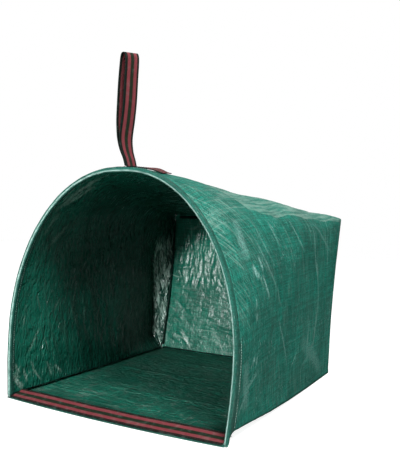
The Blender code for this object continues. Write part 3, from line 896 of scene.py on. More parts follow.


# The finishes of the cloth. Most numbers say how strong an effect is. weave is the height of a woven tape,
# crinkle its density across and along and its height, detail how fine it is, and a number of the coated inside
# the brightness that painted shade leaves far inside. lean is how far the haze's streaks lean, where they
# stand upright and where the roof is
# Painted light in these finishes: pale spots that are painted glints, painted shade in the weave's low places
# and deep inside, painted glints along creases inside, painted light on the turned strips, a band of painted
# sheen on the shoulder and painted shade at the sewn edges
CLOTH_LOOKS = {
    "woven_outside": {
        "colour": "outside", "seed": 0.0, "haze": 0.80, "veil": 0.01, "tapes": 0.55, "grooves": 0.55,
        "weave": 0.00040, "lean": (0.95, 0.60, 0.20), "spots": 0.62, "worn": 0.44, "hatched": 0.24,
        "brushed_front": 0.25, "crinkle": (70.0, 55.0, 0.0040), "roughness": (0.58, 0.70), "specular": 0.04,
    },
    "coated_inside": {
        "colour": "inside", "seed": 3.7, "haze": 0.14, "tapes": 0.30, "grooves": 0.22, "weave": 0.00005,
        "lean": (0.95, 0.60, -1.0), "unfaded": 0.47, "strip": 1.0, "creased": 1.2, "detail": 1.6,
        "crinkle": (22.0, 56.0, 0.0085), "roughness": (0.20, 0.30), "specular": 0.25,
    },
    "coated_floor": {
        "colour": "inside", "seed": 7.1, "haze": 0.82, "veil": 0.01, "tapes": 0.60, "grooves": 0.35,
        "weave": 0.00010, "spots": 0.62, "hatched": 0.36, "soiled": 0.55, "detail": 1.5,
        "crinkle": (24.0, 80.0, 0.0070), "roughness": (0.34, 0.46), "specular": 0.10,
    },
    "coated_rear": {
        "colour": "inside", "seed": 5.3, "haze": 0.36, "tapes": 0.40, "grooves": 0.35, "weave": 0.00006,
        "spots": 0.30, "hatched": 0.26, "creased": 1.0, "detail": 1.8, "crinkle": (44.0, 30.0, 0.0024),
        "roughness": (0.30, 0.39), "specular": 0.22,
    },
    "hem_cloth_worn": {
        "colour": "hem", "seed": 9.9, "haze": 0.52, "veil": 0.03, "tapes": 0.60, "grooves": 0.50,
        "weave": 0.00030, "spots": 0.40, "folded": 0.85, "crinkle": (120.0, 70.0, 0.0030),
        "roughness": (0.42, 0.55), "specular": 0.03,
    },
}


@made_once
def woven_material(nodes, shader, look, sizes, colours):
    """Woven and coated cloth."""
    colour, haze = getattr(colours, look["colour"]), colours.haze
    low, high = look["roughness"]
    satin(shader, low, look["specular"])
    flat = nodes.flat()
    depth = nodes.parts(flat)[1]
    weave = nodes.put("Group", {"Vector": flat, "Pitch": sizes.weave_pitch}, node_tree=weave_group())
    lean, upright, roof = look.get("lean", (0.0, 0.6, -1.0))
    values = {"Vector": flat, "Seed": look["seed"], "Lean": lean, "Upright": upright, "Roof": roof}
    rubs_and_glints = nodes.put("Group", values, node_tree=haze_group())
    across, along, height = look["crinkle"]
    values = {"Vector": flat, "Across": across, "Along": along, "Detail": look.get("detail", 3.0)}
    crinkle = nodes.put("Group", values, node_tree=crinkle_group())["Height"]

    # The woven colour, a little different from tape to tape, with painted shade in the weave's low places
    tone = nodes.patches(flat, 9.0, 0.25, 0.75, detail=4.0, rough=0.6, twist=0.4)
    tapes = nodes.times_plus(weave["Shade"], look["tapes"], 1.0 - look["tapes"] / 2)
    # Painted shade: the weave's low places, where a tape dips under the next, are darkened
    grooves = nodes.times_plus(weave["Height"], look["grooves"], 1.0 - look["grooves"] * 0.6)
    shade = nodes.times(tapes, grooves)
    # Painted shade: the coated inside is darkened deeper from the mouth, where less light reaches
    if "unfaded" in look:
        shade = nodes.times(shade, nodes.ramp(depth, 0.03, 0.24, 1.0, look["unfaded"]))
    if "hatched" in look:
        threads = [nodes.noise(flat, ways, 2.0, 0.6) for ways in ((320.0, 22.0), (22.0, 320.0))]
        both = nodes.maths("ADD", *threads)
        shade = nodes.times(shade, nodes.ramp(both, 0.78, 1.22, 1 - look["hatched"], 1 + look["hatched"]))
    surface = nodes.scaled(nodes.mix(tone, toned(colour, 0.74), toned(colour, 1.22)), shade)

    # Haze, painted light on the crushed turned strips, and soil on it
    veil = nodes.times_plus(rubs_and_glints["Mask"], look["haze"], look.get("veil", 0.0))
    if "brushed_front" in look:
        streaks = nodes.put("Group", {"Vector": flat}, node_tree=brushed_group())[0]
        veil = nodes.times_plus(streaks, look["brushed_front"], veil)
    surface = nodes.mix(nodes.maths("MINIMUM", veil, 1.0), surface, haze)
    if "strip" in look:
        # Painted light: pale patches on the turned strip before each rear seam
        crushed = nodes.patches(flat, (30.0, 210.0), 0.40, 0.62, rough=0.6, twist=0.8)
        surface = nodes.mix(nodes.times(crushed, nodes.painted("strip"), look["strip"]), surface, haze)
        # The cloth is crushed most near the hem and before the rear seam
        crinkle = nodes.times(crinkle, nodes.ramp(depth, 0.02, 0.30, 1.7, 1.0))
        crinkle = nodes.times(crinkle, nodes.ramp(depth, 0.53, 0.57, 1.0, 2.0))
    if "soiled" in look:
        clouds = nodes.patches(flat, (42.0, 70.0), 0.47, 0.64, detail=5.0, rough=0.7, twist=0.5)
        places = nodes.patches(flat, 9.0, 0.36, 0.60, 0.25, detail=2.0)
        surface = nodes.mix(nodes.times(clouds, places, look["soiled"]), surface, colours.soil)

    # Painted glint spots, rubbed lines with painted glints, painted sheen and painted shade at sewn edges
    bright = nodes.times(rubs_and_glints["Spots"], look.get("spots", 0.0))
    # Painted glints along creases of the coating
    if "creased" in look:
        side, strength = nodes.painted("crease_side"), nodes.painted("crease_strength")
        values = {"Vector": flat, "Side": side, "Strength": strength}
        crease_glints = nodes.put("Group", values, node_tree=wear_and_light_group())["Rubbed"]
        bright = nodes.most(bright, nodes.times(crease_glints, look["creased"]))
    if "worn" in look:
        painted = {"Side": "rub_side", "Strength": "rub_strength", "Band": "band_side", "Edge": "edge_near"}
        values = {"Vector": flat} | {socket: nodes.painted(name) for socket, name in painted.items()}
        worn = nodes.put("Group", values, node_tree=wear_and_light_group())
        # Painted sheen: a pale band along the upward-facing shoulder, broken by brushed streaks
        surface = nodes.mix(nodes.times(worn["Band"], look["worn"]), surface, haze)
        # Rubbed lines and painted glints, in the shine colour
        surface = nodes.mix(nodes.most(bright, worn["Rubbed"]), surface, colours.shine)
        # Painted shade: the cloth darkens close to its sewn foot and rear seam
        surface = nodes.mix(nodes.times(worn["Dark"], 0.72), surface, toned(colour, 0.18))
    else:
        surface = nodes.mix(bright, surface, haze)
    if "folded" in look:
        # The hem's front fold: wear, and a painted highlight along the rounded edge
        worn = nodes.ramp(nodes.maths("ABSOLUTE", depth), 0.0004, 0.0024, 1.0, 0.0)
        broken = nodes.patches(flat, (45.0, 200.0), 0.30, 0.62, 0.35, detail=4.0)
        surface = nodes.mix(nodes.times(worn, broken, look["folded"]), surface, colours.hem_fold)
    nodes.give(surface, shader["Base Color"])
    rough = nodes.times_plus(rubs_and_glints["Mask"], 0.25, low)
    nodes.give(nodes.times_plus(tone, high - low, rough), shader["Roughness"])
    creased = nodes.bump(crinkle, height)
    nodes.give(nodes.bump(weave["Height"], look["weave"], Normal=creased), shader["Normal"])


def cloth_material(name, sizes, colours):
    return woven_material(name, CLOTH_LOOKS[name], sizes, colours)


@made_once
def strap_material(nodes, shader, colours, dusty):
    """Striped webbing."""
    satin(shader, 0.66, 0.06)
    flat = nodes.flat()
    strap = nodes.put("Group", {"Vector": flat}, node_tree=strap_group())
    reds = nodes.mix(strap["Shade"], toned(colours.red, 0.62), toned(colours.red, 1.30))
    striped = nodes.mix(strap["Edge"], nodes.mix(strap["Red"], colours.centre, reds), colours.edge)
    # Painted shade: the valleys between the webbing's ribs and yarns are darkened
    rib_shaded = nodes.scaled(striped, nodes.times_plus(strap["Height"], 0.55, 0.62))
    dust = nodes.patches(flat, 70.0, 0.62 - dusty, 0.80, 0.0, dusty, detail=4.0, rough=0.6)
    nodes.give(nodes.mix(dust, rib_shaded, colours.haze), shader["Base Color"])
    nodes.give(nodes.bump(strap["Height"], 0.00028), shader["Normal"])


@made_once
def tape_material(nodes, shader, colour):
    """Ribbed binding, a little worn."""
    satin(shader, 0.62, 0.06)
    flat = nodes.flat()
    ribs = nodes.wave(nodes.times(nodes.parts(flat)[0], tau / 0.0011))
    pale = tuple(min(part * 3.0 + 0.004, 1.0) for part in colour)
    nodes.give(nodes.mix(nodes.patches(flat, (50.0, 300.0), 0.4, 0.8), colour, pale), shader["Base Color"])
    nodes.give(nodes.bump(ribs, 0.00012), shader["Normal"])


@made_once
def thread_material(nodes, shader, colour):
    """Twisted thread, seen in object space because each stitch is a piece of its own."""
    satin(shader, 0.55, 0.15)
    twist = nodes.noise(nodes.put("TexCoord", {})["Object"], 1400.0, 2.0)
    nodes.give(nodes.mix(twist, toned(colour, 0.6), toned(colour, 1.25)), shader["Base Color"])
    nodes.give(nodes.bump(twist, 0.0001), shader["Normal"])


@made_once
def hard_material(nodes, shader, colour, scale, rough_low, rough_high):
    """Moulded or drawn plastic with a fine grain."""
    grain = nodes.noise(nodes.put("TexCoord", {})["Object"], scale, 4.0, 0.6)
    nodes.give(nodes.mix(grain, toned(colour, 0.7), toned(colour, 1.4)), shader["Base Color"])
    nodes.give(nodes.ramp(grain, 0.3, 0.7, rough_low, rough_high), shader["Roughness"])
    nodes.give(nodes.bump(grain, 0.0001), shader["Normal"])


def wrap_place(column, row):
    """A corner of the wrap: from the left foot over the top to the right, and from the mouth to the rear."""
    # The rows lie closer together before the rear seam
    share = float(np.interp(round(row * DEPTH_CELLS) / DEPTH_CELLS, (0.0, 0.66, 1.0), (0.0, 0.78, 1.0)))
    run, xs, zs, shoulder = outline(share)
    reach = abs(2 * column - 1)
    sign = 1 if column > 0.5 else -1
    if reach < SHOULDER_TURN:
        length = blend(run[-1], shoulder, reach / SHOULDER_TURN)
    else:
        length = blend(shoulder, 0.0, (reach - SHOULDER_TURN) / (1 - SHOULDER_TURN))
    x = float(np.interp(length, run, xs)) * sign
    z = float(np.interp(length, run, zs))
    y = depth_of(share, WRAP_FRONT_Y, z / blend(MOUTH_HEIGHT, REAR_HEIGHT, share))
    return settle(x, y, z, share), ((run[-1] - length) * sign, y - WRAP_FRONT_Y, length, y, share, z, x)


def wrap_relief(spots):
    """How far the wrap stands out or in at each corner: billows, folds and crumpling."""
    across, along, up, y, share, z, x = spots.T
    right = across > 0
    from_mouth = share * FLOOR_DEPTH
    from_rear = (1 - share) * WRAP_DEPTH
    calm = smooth(0.006, 0.035, from_mouth) * smooth(0.002, 0.030, from_rear) * smooth(0.002, 0.022, up)
    # No relief under the tails of the two handles
    strap = 1 - smooth(0.105, 0.13, np.abs(x - FRONT_HANDLE_OFFSET))
    strap *= 1 - smooth(0.060, 0.085, from_mouth)
    strap += (1 - smooth(0.022, 0.035, np.abs(x))) * (1 - smooth(0.085, 0.11, from_rear))
    strap = np.where(z > 0.3, strap, 0.0)
    billow = 0.0045 * ripple(across * 3.0, along * 3.6, 1.3)
    leaning = along + (up - 0.40) * 0.85 * np.clip(1 - along / FLOOR_DEPTH, 0.0, 1.0)
    drapes = 0.0017 * crumple(leaning * 17.0, up * 4.5, 8.1) + 0.0011 * crumple(leaning * 38.0, up * 8.0, 4.4)
    crinkle = 0.0005 * crumple(across * 42.0, along * 52.0, 2.2)
    crinkle += 0.00022 * crumple(across * 95.0, along * 105.0, 6.6)
    # Crumpled cloth at the shoulders behind the mouth, and in the corner at the left foot
    band = smooth(0.20, 0.28, up) * (1 - smooth(0.16, 0.34, share)) * np.where(right, 0.35, 1.0)
    crinkle += 0.0026 * band * crumple(along * 58.0, up * 17.0 - along * 20.0, 9.2)
    corner = (1 - smooth(0.05, 0.13, up)) * (1 - smooth(0.14, 0.32, share)) * np.where(right, 0.1, 1.0)
    crinkle += 0.0030 * corner * crumple(along * 40.0 + up * 20.0, up * 46.0, 3.3)
    relief = (billow + drapes) * calm + crinkle * (0.3 + 0.7 * calm)
    relief += folds(y, up, WALL_FOLDS["both"], 1.0) * calm
    relief += np.where(right, folds(y, up, WALL_FOLDS["right"]), folds(y, up, WALL_FOLDS["left"])) * calm
    # The rear of each side turns in towards its seam behind an upright fold
    crest = turned_crest(z)
    ahead = np.clip((share - crest + 0.40) / 0.40, 0.0, 1.0) ** 1.8
    turned = np.where(share < crest, ahead, (1 - share) / (1 - crest))
    low = (1 - smooth(0.28, 0.38, z)) * smooth(0.0, 0.045, up)
    relief += turned * low * np.where(right, 0.003, 0.0275)
    # The turned strip is crushed into upright folds of its own
    strip = smooth(crest - 0.02, crest + 0.02, share) * low * (1 - smooth(0.965, 0.998, share))
    crushed = 0.0050 * crumple(share * 46.0, z * 15.0, 7.3) + 0.0026 * crumple(share * 80.0, z * 34.0, 1.7)
    relief += strip * crushed
    # Puckers and a small roll along the seams
    relief -= 0.0009 * np.exp(-from_rear / 0.0035) * smooth(0.0, 0.02, up)
    relief += 0.0006 * np.exp(-from_rear / 0.012) * ripple(up * 95.0, share, 5.5)
    relief += 0.0005 * np.exp(-up / 0.010) * ripple(along * 90.0, share, 7.5)
    return relief * (1 - np.clip(strap, 0.0, 1.0))


def make_wrap(sizes, colours):
    bm, spots = flat_grid(2 * (UPPER_CELLS + LOWER_CELLS), DEPTH_CELLS, wrap_place)
    piece = add_panel("wrap_cloth", bm, wrap_relief(spots), "coated_inside", "wrap_panel", sizes, colours)
    across, _, up, y, share, z, _ = spots.T
    paint_line_marks(piece, "rub", y, up, WALL_RUBS_AND_GLINTS)
    paint_line_marks(piece, "crease", y, up, SIDE_CREASE_GLINTS)
    crest = turned_crest(z)
    strip = smooth(crest - 0.004, crest + 0.006, share) * (1 - smooth(0.28, 0.34, z))
    paint(
        piece,
        # The shoulder's band of painted sheen
        band_side=up - along_table(BAND_EDGE, y) + 0.004 * ripple(y * 40.0, up * 25.0, 6.4),
        # Painted shade along the sewn foot and the rear seam
        edge_near=np.clip(1 - np.minimum(up, (1 - share) * WRAP_DEPTH) / 0.012, 0.0, 1.0),
        # The turned strips, which get painted light
        strip=strip * np.where(across < 0, 1.0, 0.4) * smooth(0.0, 0.03, z),
    )


def make_floor(sizes, colours):
    half = MOUTH_WIDTH / 2 + 0.0001

    def place(column, row):
        x = blend(-half, half, column)
        y = blend(sill_front(x, sizes.sill_bow) + 0.001, WRAP_REAR_Y + 0.0007, row)
        edge = half - abs(x)
        # The floor's edge rises to meet the lifted side
        width = blend(0.010, 0.030, float(smooth(-0.288, -0.266, y)))
        width += 0.015 * float(smooth(-0.262, -0.19, y))
        near = max(1 - edge / width, 0.0)
        rise = side_lift(y, x > 0) * near * near * (3 - 2 * near)
        return Vector((x, y, 0.0003 + rise)), (x, y, edge)

    bm, spots = flat_grid(168, 200, place)
    x, y, edge = spots.T
    calm = smooth(0.002, 0.03, edge) * smooth(-0.246, -0.20, y) * smooth(0.002, 0.03, WRAP_REAR_Y - y)
    waves = 0.0022 * (0.5 + 0.5 * ripple(x * 5.0, y * 16.0, 3.1))
    streaks = 0.0008 * (0.5 + crumple(x * 9.0, y * 48.0, 6.2))
    streaks += 0.0005 * (0.5 + crumple(x * 26.0, y * 90.0, 2.7))
    relief = -(waves + streaks + folds(x, y, FLOOR_FOLDS)) * calm
    piece = add_panel("floor_cloth", bm, relief, "coated_floor", "floor_panel", sizes, colours)


def make_rear(sizes, colours):
    half = REAR_WIDTH / 2 - 0.0009
    low, high = 0.0003, REAR_HEIGHT - 0.0008

    def place(column, row):
        x, z = blend(-half, half, column), blend(low, high, row)
        corner = REAR_CORNER - min(half - abs(x), REAR_CORNER)
        z = min(z, high - REAR_CORNER + (REAR_CORNER**2 - corner**2) ** 0.5)
        return Vector((x * (1 - waist(z) / half), rear_y(z) + 0.0008, z)), (x, z)

    bm, spots = flat_grid(240, 190, place)
    x, z = spots.T
    calm = smooth(0.001, 0.022, half - np.abs(x)) * smooth(0.001, 0.020, z - low)
    calm *= smooth(0.001, 0.022, high - z)
    billow = 0.0045 * ripple(x * 4.0, z * 4.5, 2.9)
    # Wrinkles like foil, upright above and lying below
    wiggle = ripple(x * 14.0, z * 16.0, 5.1) * 0.8
    upper = smooth(0.175, 0.210, z + 0.006 * wiggle) * (0.35 + 0.65 * smooth(-0.225, -0.200, x))
    foil = 0.0034 * upper * crumple(x * 74.0 + wiggle, z * 14.0 + wiggle * 0.5, 4.7)
    foil += 0.0016 * upper * crumple(x * 130.0 + wiggle, z * 34.0, 9.4)
    foil += 0.0016 * (1 - upper) * crumple(x * 26.0 + z * 30.0, z * 52.0, 7.9)
    foil += 0.0004 * crumple(x * 60.0 + wiggle, z * 130.0, 1.9)
    relief = (billow + foil + folds(x, z, REAR_FOLDS)) * calm
    # Where the handle's tail is sewn on behind, the cloth only gives way inwards
    patch = (1 - smooth(0.021, 0.032, np.abs(x))) * smooth(high - 0.105, high - 0.085, z)
    gathered = 0.0012 * (0.55 + crumple(x * 74.0, z * 30.0, 3.8))
    gathered += 0.0008 * (0.55 + crumple(x * 130.0, z * 70.0, 6.1))
    relief = relief * (1 - patch * 0.9) - gathered * patch * calm
    piece = add_panel("rear_cloth", bm, relief, "coated_rear", "rear_panel", sizes, colours)
    # The right half has the left one's painted crease glints, mirrored and moved
    mirrored = np.where(x < 0, x, -0.93 * x - 0.014)
    paint_line_marks(piece, "crease", mirrored, z + np.where(x < 0, 0.0, 0.018), REAR_CREASE_GLINTS)


def mouth_frames(count):
    """Even steps along the hoop: middle, back and out; and the hoop's length."""
    _, xs, zs, _ = outline(0.0, HEM_RADIUS)
    line_x = np.concatenate((-xs[:-1], xs[::-1]))
    line_z = np.maximum(np.concatenate((zs[:-1], zs[::-1])), HEM_FOOT + 0.0002)
    line_y = FRONT_Y + HEM_RADIUS + MOUTH_SETBACK * line_z / MOUTH_HEIGHT
    line = np.stack((line_x, line_y, line_z), axis=1)
    runs = np.concatenate(([0.0], np.cumsum(np.linalg.norm(np.diff(line, axis=0), axis=1))))
    want = np.linspace(0.0, runs[-1], count + 1)
    spots = [Vector([float(np.interp(step, runs, line[:, axis])) for axis in range(3)]) for step in want]
    frames = []
    for spot, along in zip(spots, directions(spots)):
        back = (BACK - along * along.y).normalized()
        out = along.cross(back)
        if out.dot(spot - Vector((0.0, spot.y, 0.15))) < 0:
            out.negate()
        frames.append((spot, back, out))
    return frames, float(runs[-1])


def hem_profile(flange):
    """The hem's section as back and out: the outer flange, round the hoop and back along the inner one."""
    radius = HEM_RADIUS
    outer = [(radius + flange * share, radius + 0.0005) for share in (1.0, 0.75, 0.5, 0.25)]
    tube = [(radius * cos(angle), radius * sin(angle)) for angle in np.linspace(pi / 2, pi * 1.78, 15)]
    inner = [(radius + flange * share, radius - high) for share, high in
             ((0.08, 0.0030), (0.25, 0.0020), (0.5, 0.0016), (0.75, 0.0014), (1.0, 0.0013))]
    return outer + tube + inner


def make_hem(sizes, colours):
    rows = 330
    frames, length = mouth_frames(rows)
    section = hem_profile(sizes.hem_flange)
    lengths = running(section)
    nose = lengths[11]
    tuck = HEM_RADIUS * 0.7

    def place(column, row):
        spot, back, out = frames[round(row * rows)]
        corner = round(column * (len(section) - 1))
        deep, high = section[corner]
        # Below the side's lower edge only the sleeve goes on to the ground
        taper = float(smooth(0.012, 0.034, spot.z)) if spot.x > 0 else float(smooth(0.001, 0.012, spot.z))
        if deep > tuck:
            deep = blend(tuck, deep, taper)
            high = blend(high * 0.45, high, taper)
        foot = min(1.0, 0.55 + 0.45 * float(smooth(0.0, 0.006, spot.z - HEM_FOOT)))
        return spot + back * deep * foot + out * high * foot, (length * row, lengths[corner] - nose, deep)

    bm, spots = flat_grid(len(section) - 1, rows, place)
    face_away(bm, Vector((0.0, 0.0, 0.1)))
    run, side, deep = spots.T
    puckers = 0.00045 * ripple(run * 75.0, side * 60.0, 3.3) + 0.0005 * ripple(run * 21.0, side * 10.0, 8.8)
    push_out(bm, puckers * (0.5 + 0.7 * smooth(0.004, 0.016, deep)))
    finish = cloth_material("hem_cloth_worn", sizes, colours)
    piece = add_piece("mouth_hem", bm, [finish], "mouth_hem_sleeve")
    thicken(piece, sizes)
    stitches = bmesh.new()
    sewn = [(spot, back, out) for spot, back, out in frames if spot.z > 0.030]
    for lift, facing in ((HEM_RADIUS + 0.0007, 1), (HEM_RADIUS - 0.0021, -1)):
        sew_along(stitches, sewn, HEM_RADIUS + sizes.hem_flange * HEM_STITCH_SHARE, lift, sizes, facing)
    thread = add_piece("mouth_hem_stitches", stitches, [thread_material("hem_thread", colours.hem_thread)])


def make_sill(sizes, colours):
    """The folded front edge of the floor with the striped webbing on it."""
    rows = 190
    lengths = running(SILL_SECTION)
    edge = lengths[7] + 0.004

    def pressed(x):
        """The sill is pressed flatter towards its ends."""
        return 0.86 + 0.14 * float(smooth(SILL_BEND_HALF, 0.17, abs(x)))

    def place(column, row):
        x = blend(-SILL_HALF, SILL_HALF, row)
        corner = round(column * (len(SILL_SECTION) - 1))
        back, up = SILL_SECTION[corner]
        # Its rear corner on the right is trimmed where the side stands off the ground
        x -= 0.010 * float(smooth(0.008, 0.030, back)) * float(smooth(0.19, SILL_HALF, x))
        spot = Vector((x, sill_front(x, sizes.sill_bow) + back, 0.0010 + (up - 0.0010) * pressed(x)))
        return spot, (x, lengths[corner] - edge)

    bm, spots = flat_grid(len(SILL_SECTION) - 1, rows, place)
    face_away(bm, Vector((0.0, -0.28, 0.0045)))
    x, side = spots.T
    push_out(bm, np.where(side > -0.002, 0.0005 * ripple(x * 40.0, side * 60.0, 4.1), 0.0))
    finish = cloth_material("hem_cloth_worn", sizes, colours)
    cloth = add_piece("sill_fold", bm, [finish], "sill_hem")
    thicken(cloth, sizes)
    frames = []
    strap_half = SILL_HALF - 0.003
    for step in range(rows + 1):
        x = blend(-strap_half, strap_half, step / rows)
        front = Vector((x, sill_front(x, sizes.sill_bow) - 0.0010, 0.0010 + 0.0024 * pressed(x)))
        rear = front + Vector((0.0, 0.0372, 0.0090 * pressed(x)))
        across = (rear - front).normalized()
        wave = 0.0004 * noise.noise((x * 22.0, 0.3, 1.1))
        frames.append(((front + rear) / 2 + UP * (0.0011 + wave), across, ACROSS.cross(across)))
    profile = strap_profile(sizes.strap_thickness)
    webbing = strap_material("striped_webbing_trodden", colours, 0.15)
    strap = sweep("sill_strap", frames, profile, webbing, "sill_webbing")
    stitches = bmesh.new()
    for side in (0.0026 - STRAP_HALF, STRAP_HALF - 0.0026):
        sew_along(stitches, frames, side, sizes.strap_thickness / 2 + 0.0002, sizes)
    thread = add_piece("sill_stitches", stitches, [thread_material("strap_thread", colours.strap_thread)])


def loop_frames(shape, height, root, up, lean_way, width_way, twist, crown_slope, root_slope):
    """Frames of a strap that goes up one leg, over a folded crown and down the other."""
    left = [(share * height, lean, -half) for share, lean, half in shape]
    crown_lean = shape[-1][1]
    crown = [(height * high, crown_lean, CROWN_HALF * half)
             for high, half in ((0.985, -1.5), (1.0, -0.6), (1.0, 0.6), (0.985, 1.5))]
    right = [(high, lean, -half) for high, lean, half in reversed(left)]
    keys = [Vector(key) for key in left + crown + right]
    line = []
    for number in range(len(keys) - 1):
        a, b = keys[number], keys[number + 1]
        before, after = keys[max(number - 1, 0)], keys[min(number + 2, len(keys) - 1)]
        steps = 9 if (b - a).length > 0.012 else 4
        for step in range(steps):
            t = step / steps
            # A Catmull-Rom curve through the four keys
            line.append(
                0.5 * ((2 * a) + (b - before) * t + (2 * before - 5 * a + 4 * b - after) * t * t
                       + (3 * a - before - 3 * b + after) * t**3)
            )
    line.append(keys[-1])
    spots, widths = [], []
    for high, lean, half in line:
        share = high / height
        turn = twist * float(smooth(0.02, 0.30, share))
        slope = root_slope * max(1 - high / 0.04, 0.0) + crown_slope * float(smooth(0.55, 1.0, share))
        apart = lean_way * cos(turn) - width_way * sin(turn)
        spots.append(root + up * high + lean_way * lean + apart * half)
        widths.append(width_way * cos(turn) + lean_way * sin(turn) + up * slope)
    return [(spot, across, along.cross(across).normalized())
            for spot, across, along in zip(spots, widths, directions(spots))]


def make_front_handle(sizes, colours):
    """The front loop, and its two tails sewn along the arch."""
    webbing = strap_material("striped_webbing", colours, 0.10)
    profile = strap_profile(sizes.strap_thickness)
    frames = loop_frames(FRONT_LOOP_SHAPE, FRONT_LOOP_HEIGHT - 0.001, FRONT_ROOT, UP, ACROSS, BACK,
                         8 * pi / 180, 0.16, FRONT_ROOT_SLOPE)
    sweep("front_strap_loop", frames, profile, webbing, "front_handle_loop", "front_handle")
    depth = WRAP_REAR_Y - WRAP_FRONT_Y
    near, far = 0.0036 / depth, (0.0036 + STRAP_WIDTH) / depth
    middle = (near + far) / 2
    stitches = bmesh.new()
    for side, sign, hump, lifted in (("left", -1, 0.0008, 0.0), ("right", 1, 0.0010, 0.14)):
        frames = []
        for step in range(61):
            run = FRONT_TAIL_LENGTH * step / 60
            x = FRONT_HANDLE_OFFSET + sign * (0.0017 + run)
            out = roof_normal(middle, x)
            width = (roof_point(far, x) - roof_point(near, x)).normalized()
            rise = 0.0019 + hump * float(smooth(0.034, 0.014, run)) * float(smooth(-0.004, 0.010, run))
            rise += 0.0012 * float(smooth(0.006, 0.0, run)) + 0.0004 * noise.noise((run * 60.0, sign, 0.4))
            # The right tail's rear edge stands a little off the roof between its stitches
            roll = lifted * float(smooth(0.010, 0.028, run)) * float(smooth(0.074, 0.046, run))
            centre = roof_point(middle, x) + out * (rise + sin(roll) * STRAP_HALF * 0.9)
            across = (width * cos(roll) + out * sin(roll)).normalized()
            frames.append((centre, across, (out * cos(roll) - width * sin(roll)).normalized()))
        sweep(f"front_strap_tail_{side}", frames, profile, webbing, f"front_handle_tail_{side}")
        box_stitching(stitches, frames, 0.012, 0.068, sizes)
    add_piece("front_handle_stitches", stitches, [thread_material("strap_thread", colours.strap_thread)])


def make_rear_handle(sizes, colours):
    """The rear loop, its tail on the top and its tail down the rear panel."""
    webbing = strap_material("striped_webbing", colours, 0.10)
    profile = strap_profile(sizes.strap_thickness)
    frames = loop_frames(REAR_LOOP_SHAPE, REAR_LOOP_DROP - 0.001, REAR_ROOT, -UP, -BACK, ACROSS,
                         0.0, 0.03, 0.0)
    sweep("rear_strap_loop", frames, profile, webbing, "rear_handle_loop", "rear_handle")
    steps = 40
    length = WRAP_REAR_Y + REAR_OVERHANG - WRAP_FRONT_Y - MOUTH_SETBACK
    slope = Vector((0.0, -REAR_OVERHANG / REAR_HEIGHT, -1.0)).normalized()
    rear_out = ACROSS.cross(slope)
    on_top, on_back = [], []
    for step in range(steps + 1):
        run = REAR_TAIL_LENGTH * step / steps
        share = 1 - (0.0016 + run) / length
        out = roof_normal(min(share, 0.996), 0.0)
        rise = 0.0018 + 0.0003 * noise.noise((step * 0.2, 2.0, 0.7))
        on_top.append((roof_point(share, 0.0) + out * rise, ACROSS, out))
        z = REAR_HEIGHT - 0.0022 + slope.z * run
        on_back.append((Vector((0.0, rear_y(z) + 0.0026, z)), ACROSS, rear_out))
    stitches = bmesh.new()
    for side, frames in (("top", on_top), ("back", on_back)):
        sweep(f"rear_strap_tail_{side}", frames, profile, webbing, f"rear_handle_tail_{side}")
        box_stitching(stitches, frames, 0.010, 0.070, sizes)
    add_piece("rear_handle_stitches", stitches, [thread_material("strap_thread", colours.strap_thread)])


def tape_frames(spots, inward):
    """Frames of a binding that stands inwards from its seam, a little wavy."""
    frames = []
    for spot, along in zip(spots, directions(spots)):
        lean = 0.22 * noise.noise((spot.x * 14.0, spot.y * 14.0, spot.z * 14.0 + 5.0))
        across = (inward - along * inward.dot(along)).normalized()
        across = (across + along.cross(across) * lean).normalized()
        frames.append((spot, across, along.cross(across)))
    return frames


def make_seams(sizes, colours):
    """The bound seams on the inside."""
    inner = MOUTH_WIDTH / 2 - 0.0022
    seams = []
    for side, sign, front in (("left", -1, -0.2965), ("right", 1, -0.280)):
        x = sign * inner
        seams.append((f"floor_{side}", (x, front, 0.0022), (x, 0.289, 0.0022), 130, (-sign, 0.0, 0.5)))
        ends = [(x, rear_y(z) - 0.0016, z) for z in (0.012, 0.376)]
        seams.append((f"rear_{side}", *ends, 90, (-sign, -1.0, 0.0)))
    for side, half, y, z, turn in (("bottom", 0.237, rear_y(0.0) - 0.0015, 0.0025, 0.5),
                                   ("top", 0.230, rear_y(0.392) - 0.0018, 0.3920, -1.0)):
        seams.append((f"rear_{side}", (-half, y, z), (half, y, z), 100, (0.0, -1.0, turn)))
    binding = tape_material("seam_binding", colours.tape)
    profile = tape_profile(sizes.tape_width, sizes.tape_thickness)
    stitches = bmesh.new()
    for name, start, end, steps, inward in seams:
        spots = [Vector(start).lerp(Vector(end), step / steps) for step in range(steps + 1)]
        for spot in spots:
            if name.startswith("floor"):
                spot.z += side_lift(spot.y, spot.x > 0)
            else:
                spot.x *= 1 - waist(spot.z) / inner
        frames = tape_frames(spots, Vector(inward))
        sweep(f"tape_{name}", frames, profile, binding, f"seam_{name}")
        for facing in (1, -1):
            lift = facing * sizes.tape_thickness * 0.52
            sew_along(stitches, frames, sizes.tape_width * TAPE_STITCH_SHARE, lift, sizes, facing)
    thread = tuple(part * 2.5 + 0.01 for part in colours.tape)
    add_piece("seam_stitches", stitches, [thread_material("tape_thread", thread)])


def dress_frame(colours):
    """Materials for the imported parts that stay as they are."""
    plastic = hard_material("black_plastic_finish", colours.plastic, 500.0, 0.45, 0.60)
    finishes = dict.fromkeys(("hoop_tip_left", "hoop_tip_right", "sill_batten"), plastic)
    finishes["mouth_hoop"] = hard_material("hoop_rod_finish", colours.rod, 240.0, 0.30, 0.45)
    for name, material in finishes.items():
        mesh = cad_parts[name].data
        mesh.materials.clear()
        mesh.materials.append(material)


